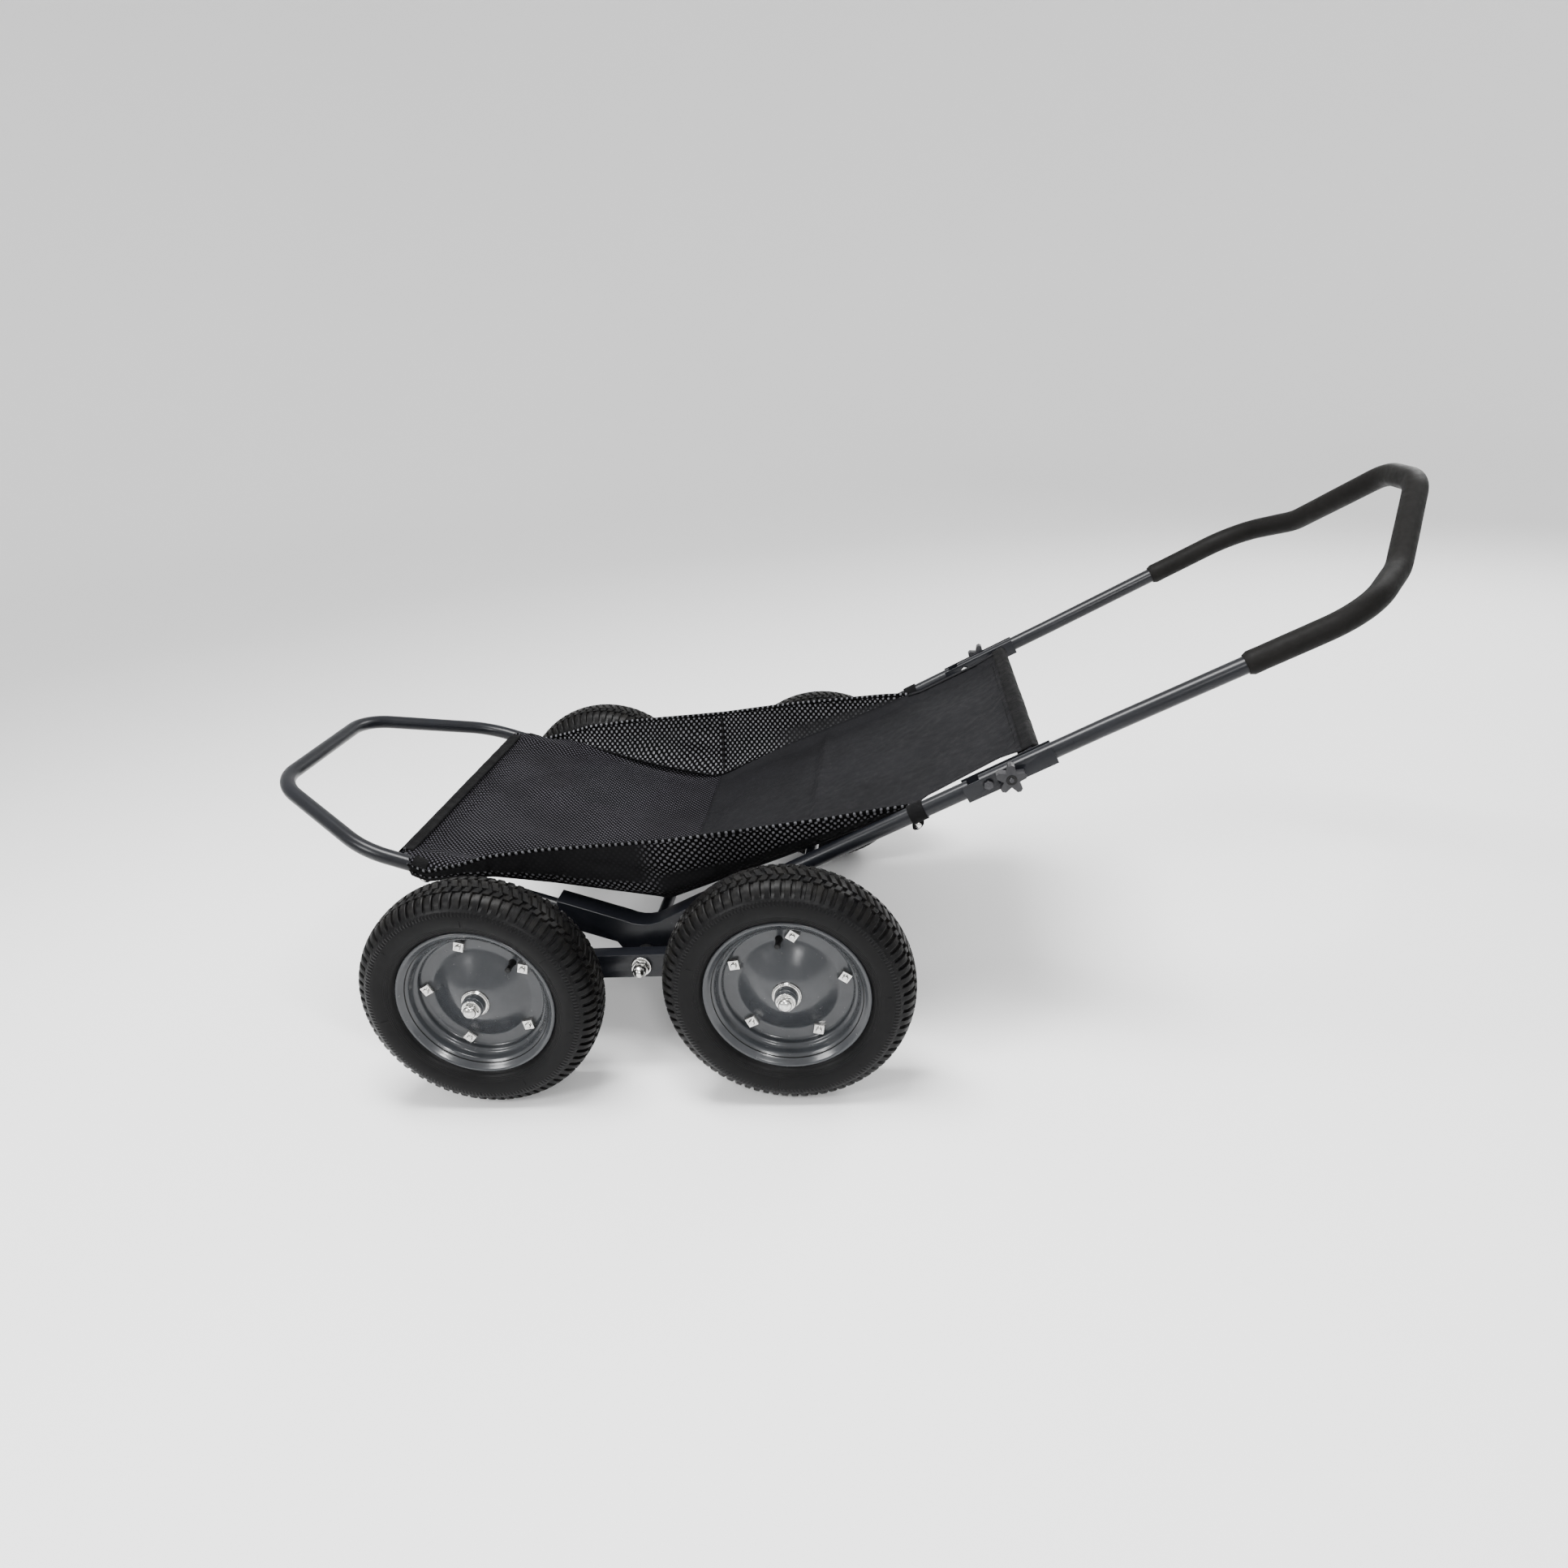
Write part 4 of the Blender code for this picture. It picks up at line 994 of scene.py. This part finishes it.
def shade_wall(obj, sign):
    """How far the net is closed black cloth, which on these bands is also painted shade of the shadowed wall:
    outside, above the foot at the front and low at the back; inside, only low at the back."""
    mesh = obj.data
    values = []
    for vertex in mesh.vertices:
        x, _, z = vertex.co
        (_, foot_z), (_, rim_z) = line_at(FOOT_LINE, x), line_at(RIM_LINE, x)
        t = (z - foot_z) / max(rim_z - foot_z, 0.004)
        if vertex.normal.y * sign > 0:
            ahead = float(1 - smoothstep(LOW_X - 0.035, LOW_X + 0.005, x))
            fold = float(smoothstep(0.22, 0.30, t))
            # low band at the back, outside: the shadowed underside, black cloth with painted shade
            behind = float(1 - smoothstep(0.34, 0.42, t - 0.12 * noise.noise(Vector((x * 9, 0, 0)))))
            values.append(max(ahead * fold, (1 - ahead) * behind))
        else:
            behind = float(smoothstep(0.14, 0.20, x))
            values.append(behind * float(1 - smoothstep(0.30, 0.50, t)) * 0.9)
    mesh.attributes.new("shade", "FLOAT", "POINT").data.foreach_set("value", values)


def tube_top(x, middles):
    """Height the cloth must keep over the cross tubes, or a very low number away from them."""
    clear = CROSS_R + 0.0024
    near = [m for m in middles if abs(x - m.x) < clear]
    return max([m.z + sqrt(clear ** 2 - (x - m.x) ** 2) for m in near], default=-1.0)


def set_uvs(mesh, place_of):
    """UV map in metres; place_of gives the flat place of a vertex from its index."""
    layer = mesh.uv_layers.new(name="cloth")
    for loop in mesh.loops:
        layer.data[loop.index].uv = place_of(loop.vertex_index)


def grid_mesh(name, points):
    mesh = bpy.data.meshes.new(name)
    mesh.from_pydata([tuple(p) for row in points for p in row], [], grid_faces(len(points), len(points[0])))
    return mesh


def cloth_grid(name, points, uvs, mat):
    """A closed cloth sheet from a grid of points, with its UV map in metres."""
    mesh = grid_mesh(name, points)
    set_uvs(mesh, [uv for row in uvs for uv in row].__getitem__)
    obj = finish_piece(name, mesh, mat, None, sharp=0)
    thicken(obj)
    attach(obj, "frame")
    return obj


def thicken(obj):
    """Gives a sheet its thickness, with the modifier applied."""
    solid_sheet = obj.modifiers.new("thickness", "SOLIDIFY")
    solid_sheet.thickness = CLOTH_THICK
    solid_sheet.offset = 0
    graph = bpy.context.evaluated_depsgraph_get()
    graph.update()
    mesh = bpy.data.meshes.new_from_object(obj.evaluated_get(graph), preserve_all_data_layers=True,
                                           depsgraph=graph)
    obj.modifiers.clear()
    obj.data = mesh


def settle(points, pinned, steps, slack, cap):
    """Lets a grid of cloth points sag between pinned ones by simulation; no point moves further than cap."""
    rows, cols = len(points), len(points[0])
    obj = link_new("settling", grid_mesh("settling", points))
    group = obj.vertex_groups.new(name="pin")
    for i in range(rows):
        for j in range(cols):
            weight = pinned(i, j)
            if weight > 0:
                group.add([i * cols + j], weight, "REPLACE")
    cloth = obj.modifiers.new("cloth", "CLOTH")
    cloth.settings.vertex_group_mass = "pin"
    cloth.settings.quality = 6
    cloth.settings.mass = 0.25
    cloth.settings.tension_stiffness = 12
    cloth.settings.compression_stiffness = 12
    cloth.settings.shear_stiffness = 4
    cloth.settings.bending_stiffness = 0.35
    cloth.settings.shrink_min = -slack
    cloth.point_cache.frame_start = 1
    cloth.point_cache.frame_end = steps
    scene = bpy.context.scene
    for number in range(1, steps + 1):
        scene.frame_set(number)
    graph = bpy.context.evaluated_depsgraph_get()
    result = obj.evaluated_get(graph).to_mesh()
    moved = [Vector(v.co) for v in result.vertices]
    bpy.data.objects.remove(obj, do_unlink=True)
    scene.frame_set(1)

    def held(start, end):
        step = end - start
        return start + (step * (cap / step.length) if step.length > cap else step)

    return [[held(Vector(points[i][j]), moved[i * cols + j]) for j in range(cols)] for i in range(rows)]


def arc_lengths(points):
    total, result = 0.0, [0.0]
    for a, b in zip(points, points[1:]):
        total += (b - a).length
        result.append(total)
    return result


def floor_stations():
    xs = list(np.linspace(FRONT_TUBE_X, LOW_X, 62)) + list(np.linspace(LOW_X, TAB_X, 60))[1:]
    return xs + list(np.linspace(TAB_X, WAIST_X, 7))[1:] + list(np.linspace(WAIST_X, REAR_TUBE_X, 26))[1:]


def make_sling():
    xs = floor_stations()
    cols = 81
    shares = np.linspace(-1, 1, cols)
    grid = [[floor_point(x, float(share)) for share in shares] for x in xs]
    last = len(xs) - 1

    def pinned(i, j):
        edge = min(j, cols - 1 - j)
        return 1.0 if i in (0, last) or edge < (6 if xs[i] < -0.27 else 1) else 0.0

    grid = settle(grid, pinned, steps=26, slack=0.012, cap=0.011)
    middles = [centre_of("rear_brace"), centre_of("cross_strut")]
    grid = [[Vector((p.x, p.y, max(p.z, tube_top(p.x, middles)))) for p in row] for row in grid]
    middle = arc_lengths([row[cols // 2] for row in grid])
    uvs = [[(middle[i], float(s) * floor_half(xs[i])) for s in shares] for i in range(len(xs))]
    split = min(range(len(xs)), key=lambda i: abs(xs[i] - (LOW_X + 0.004)))
    front = cloth_grid("sling_front_panel", grid[:split + 1], uvs[:split + 1], NET_FLOOR)
    rear = cloth_grid("sling_rear_panel", grid[split:], uvs[split:], CLOTH)
    walls, others = [], []
    for side, sign in SIDES:
        walls.append(make_wall(side, sign))
        others += make_wall_trim(side, sign)
    hems = [make_hem("front", FRONT_TUBE_X, FRONT_EDGE_Y - 0.001, -1),
            make_hem("rear", REAR_TUBE_X, REAR_EDGE_Y, 1)]
    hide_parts("sling")
    length, area = wall_pattern()


def make_wall(side, sign):
    xs = wall_stations()
    rows = 21
    points, uvs = [], []
    lengths = arc_lengths([wall_point(x, sign, 0.5) for x in xs])
    for k in range(rows):
        t = k / (rows - 1)
        points.append([wall_point(x, sign, t) for x in xs])
        uvs.append([(lengths[i], wall_point(x, sign, t).z) for i, x in enumerate(xs)])

    def pinned(i, j):
        return 1.0 if i in (0, rows - 1) or j in (0, len(xs) - 1) else 0.0

    points = settle(points, pinned, steps=22, slack=0.02, cap=0.007)
    wall = cloth_grid(f"sling_wall_{side}", points, uvs, NET_WALL)
    shade_wall(wall, sign)
    return wall


def ribbon_along(name, path, half, thick, mat, up=Vector((0, 1, 0))):
    """A flat ribbon or cord of rounded section swept along a path."""
    section = [(half * cos(a), thick * sin(a)) for a in np.linspace(0, 2 * pi, 13)[:-1]]
    verts = []
    lengths = arc_lengths(path)
    for i, point in enumerate(path):
        before, after = path[max(i - 1, 0)], path[min(i + 1, len(path) - 1)]
        tangent = (after - before).normalized()
        side = up - tangent * tangent.dot(up)
        side.normalize()
        normal = tangent.cross(side)
        verts += [point + side * a + normal * b for a, b in section]
    cols = len(section)
    obj = make_piece(name, verts, capped_faces(len(path), cols), mat, None, 60)
    set_uvs(obj.data, lambda i: (lengths[min(i // cols, len(path) - 1)], (i % cols) / cols * half * 4))
    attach(obj, "frame")
    return obj


def make_wall_trim(side, sign):
    """Folded rim, welted floor seam and the upright seam in the middle of each wall."""
    xs = wall_stations()
    lean = Vector((0, 0.35 * sign, 1)).normalized()
    rim = ribbon_along(f"sling_rim_{side}", [wall_point(x, sign, 1.0) + Vector((0, 0, 0.0005)) for x in xs],
                       0.0034, 0.0022, NET_WALL, up=lean)
    foot = ribbon_along(f"sling_foot_seam_{side}",
                        [wall_point(x, sign, 0.0) + Vector((0, sign * 0.0012, -0.0010)) for x in xs],
                        0.0030, 0.0016, BINDING, up=lean)
    ts = np.linspace(0.02, 0.98, 14)
    upright = ribbon_along(f"sling_wall_seam_{side}",
                           [wall_point(WALL_SEAM_X, sign, float(t)) - Vector((0, sign * 0.0012, 0))
                            for t in ts],
                           0.0020, 0.0009, BINDING, up=Vector((1, 0, 0)))
    edge_xs = [x for x in floor_stations() if x >= TAB_X]
    edge = ribbon_along(f"sling_side_hem_{side}",
                        [Vector((x, sign * (floor_half(x) - 0.002), floor_height(x))) for x in edge_xs],
                        0.0055, 0.0014, CLOTH)
    return [rim, foot, upright, edge]


def make_hem(end, tube_x, half, out):
    """Cloth wrapped round a cross tube and sewn back to the floor."""
    middle = Vector((tube_x, 0, rail_z(tube_x)))
    wrap = 1.35 * pi
    section = [Vector((cos(a), 0, sin(a))) * HEM_R for a in np.linspace(pi / 2, pi / 2 - out * wrap, 30)]
    tail_x = tube_x - out * 0.020
    tail_end = Vector((tail_x, 0, floor_height(tail_x) - 0.0065)) - middle
    section += [section[-1].lerp(tail_end, t) for t in (0.35, 0.7, 1.0)]
    lead = [Vector((tube_x - out * d, 0, floor_height(tube_x - out * d) + 0.0018)) - middle
            for d in (0.015, 0.011, 0.007, 0.003)]
    section = lead + section
    ys = np.linspace(-half, half, 60)
    points, uvs = [], []
    lengths = arc_lengths(section)
    for k, p in enumerate(section):
        row, uv_row = [], []
        for y in ys:
            wave = 0.0006 * noise.noise(Vector((y * 40, k * 0.2, out)))
            row.append(middle + p * (1 + wave / HEM_R) + Vector((0, float(y), 0)))
            uv_row.append((lengths[k], float(y)))
        points.append(row)
        uvs.append(uv_row)
    return cloth_grid(f"sling_hem_{end}", points, uvs, BINDING)


# half of a tab's outline: depth, half width; and a rivet's profile: radius, share of its length
LOBE = ((0.0, 0.0080), (0.004, 0.0090), (0.010, 0.0085), (0.0135, 0.0055), (0.0150, 0.0))
RIVET = ((0.0036, 0), (0.0048, 0.1), (0.0048, 0.75), (0.0036, 0.93), (0.0012, 1.0))


def make_straps():
    """Corner tabs that wrap the rails, each with a shiny rivet."""
    for end, x in zip(ENDS, STRAP_X):
        for side, sign in SIDES:
            node = f"sling_strap_{end}_{side}"
            slope = REAR_SLOPE if x > 0 else FRONT_SLOPE
            reach = 0.012 / sqrt(1 + slope ** 2)
            ends = [rail_point(x - reach, sign * RAIL_Y), rail_point(x + reach, sign * RAIL_Y)]
            path = evenly(ends, 0.002)
            sleeve = tube(f"strap_sleeve_{end}_{side}", path, TUBE_R + 0.0026, BINDING, "frame", 36, 0.0023)
            add_wrap_uv(sleeve)
            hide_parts(node)
            drop = rail_point(x, sign * RAIL_Y) - Vector((0, 0, TUBE_R + 0.0045))
            tab = make_tab(f"strap_tab_{end}_{side}", drop, LOBE, slope if x > 0 else -slope)
            face = sign * 0.0016
            rivet = rod(f"strap_rivet_{end}_{side}", drop + Vector((0, -face, -0.004)),
                        drop + Vector((0, face * 2.1, -0.004)), RIVET, 24, ZINC, "frame")


def make_tab(name, top, lobe, slope):
    """A flat rounded tab hanging below the rail."""
    outline = [(w, -d) for d, w in lobe] + [(-w, -d) for d, w in reversed(lobe[:-1])]
    verts = []
    for y in (-0.0014, 0.0014):
        verts += [(top.x + a, top.y + y, top.z + b + a * slope + 0.004) for a, b in outline]
    cols = len(outline)
    obj = make_piece(name, verts, capped_faces(2, cols), BINDING, None, 40)
    add_wrap_uv(obj)
    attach(obj, "frame")
    return obj


def add_wrap_uv(obj):
    """UV map in metres from each point's own place."""
    def place_of(index):
        co = obj.data.vertices[index].co
        return co.x + 0.3 * co.y, co.z + 0.7 * co.y

    set_uvs(obj.data, place_of)


# ---- stage ------------------------------------------------------------------------------------------
CAMERA_PLACE = Vector((0.4386, -1.7179, 1.0592))
CAMERA_RIGHT = Vector((0.9907, 0.0979, -0.0947))
CAMERA_UP = Vector((0.0493, 0.3902, 0.9194))
CAMERA_FORWARD = Vector((-0.1270, 0.9155, -0.3817))


def make_camera():
    data = bpy.data.cameras.new("view")
    data.sensor_width = 36.0
    data.lens = 24.0
    data.clip_end = 60.0
    camera = link_new("view", data)
    columns = (CAMERA_RIGHT, CAMERA_UP, -CAMERA_FORWARD)
    rows = [[c[i] for c in columns] + [CAMERA_PLACE[i]] for i in range(3)] + [[0, 0, 0, 1]]
    camera.matrix_world = Matrix(rows)
    bpy.context.scene.camera = camera


def make_stage():
    world = bpy.data.worlds.new("soft_white")
    world.use_nodes = True
    world.node_tree.nodes["Background"].inputs["Color"].default_value = (1, 1, 1, 1)
    world.node_tree.nodes["Background"].inputs["Strength"].default_value = 1.1
    bpy.context.scene.world = world
    n = Nodes("stage_white", (0.86, 0.86, 0.86), 0.85)
    n.colour(n.mix(n.noise(0.7, 2.0), (0.85, 0.85, 0.85), (0.88, 0.88, 0.88)))
    profile = [(0.0, 0.0), (5.0, 0.0), (6.2, 0.25), (7.0, 1.0), (7.4, 2.4), (7.5, 6.0)]
    profile = soften(profile, 0.8, 6, closed=False)
    segments = 64
    verts = [(0, 0, -0.0006)]
    for i in range(segments):
        a = 2 * pi * i / segments
        verts += [(p[0] * cos(a), p[0] * sin(a), p[1] - 0.0006) for p in profile[1:]]
    cols = len(profile) - 1
    faces = []
    for i in range(segments):
        a, b = 1 + i * cols, 1 + ((i + 1) % segments) * cols
        faces.append((0, a, b))
        faces += [(a + j, a + j + 1, b + j + 1, b + j) for j in range(cols - 1)]
    mesh = bpy.data.meshes.new("floor")
    mesh.from_pydata(verts, [], faces)
    floor = link_new("floor", mesh)
    mesh.materials.append(n.mat)
    for polygon in mesh.polygons:
        polygon.use_smooth = True


def area_light(name, place, target, size, power):
    data = bpy.data.lights.new(name, "AREA")
    data.shape = "RECTANGLE"
    data.size, data.size_y = size
    data.energy = power
    light = link_new(name, data)
    light.location = place
    light.rotation_euler = (Vector(target) - Vector(place)).to_track_quat("-Z", "Y").to_euler()


def make_lights():
    area_light("overhead", (-0.2, -0.5, 3.0), (0.1, 0, 0.3), (2.0, 0.7), 190)
    area_light("front_left", (-2.2, -2.6, 2.4), (0.1, 0, 0.3), (0.9, 0.9), 75)
    area_light("near_camera", (1.0, -2.8, 1.9), (0.1, 0, 0.3), (0.35, 0.35), 40)
    area_light("back_right", (2.6, 2.4, 2.2), (0.2, 0, 0.3), (1.6, 1.2), 90)


make_camera()
make_stage()
make_lights()
make_frame_tubes()
make_handle()
make_brackets()
make_fasteners()
make_wheels()
make_sling()
make_straps()
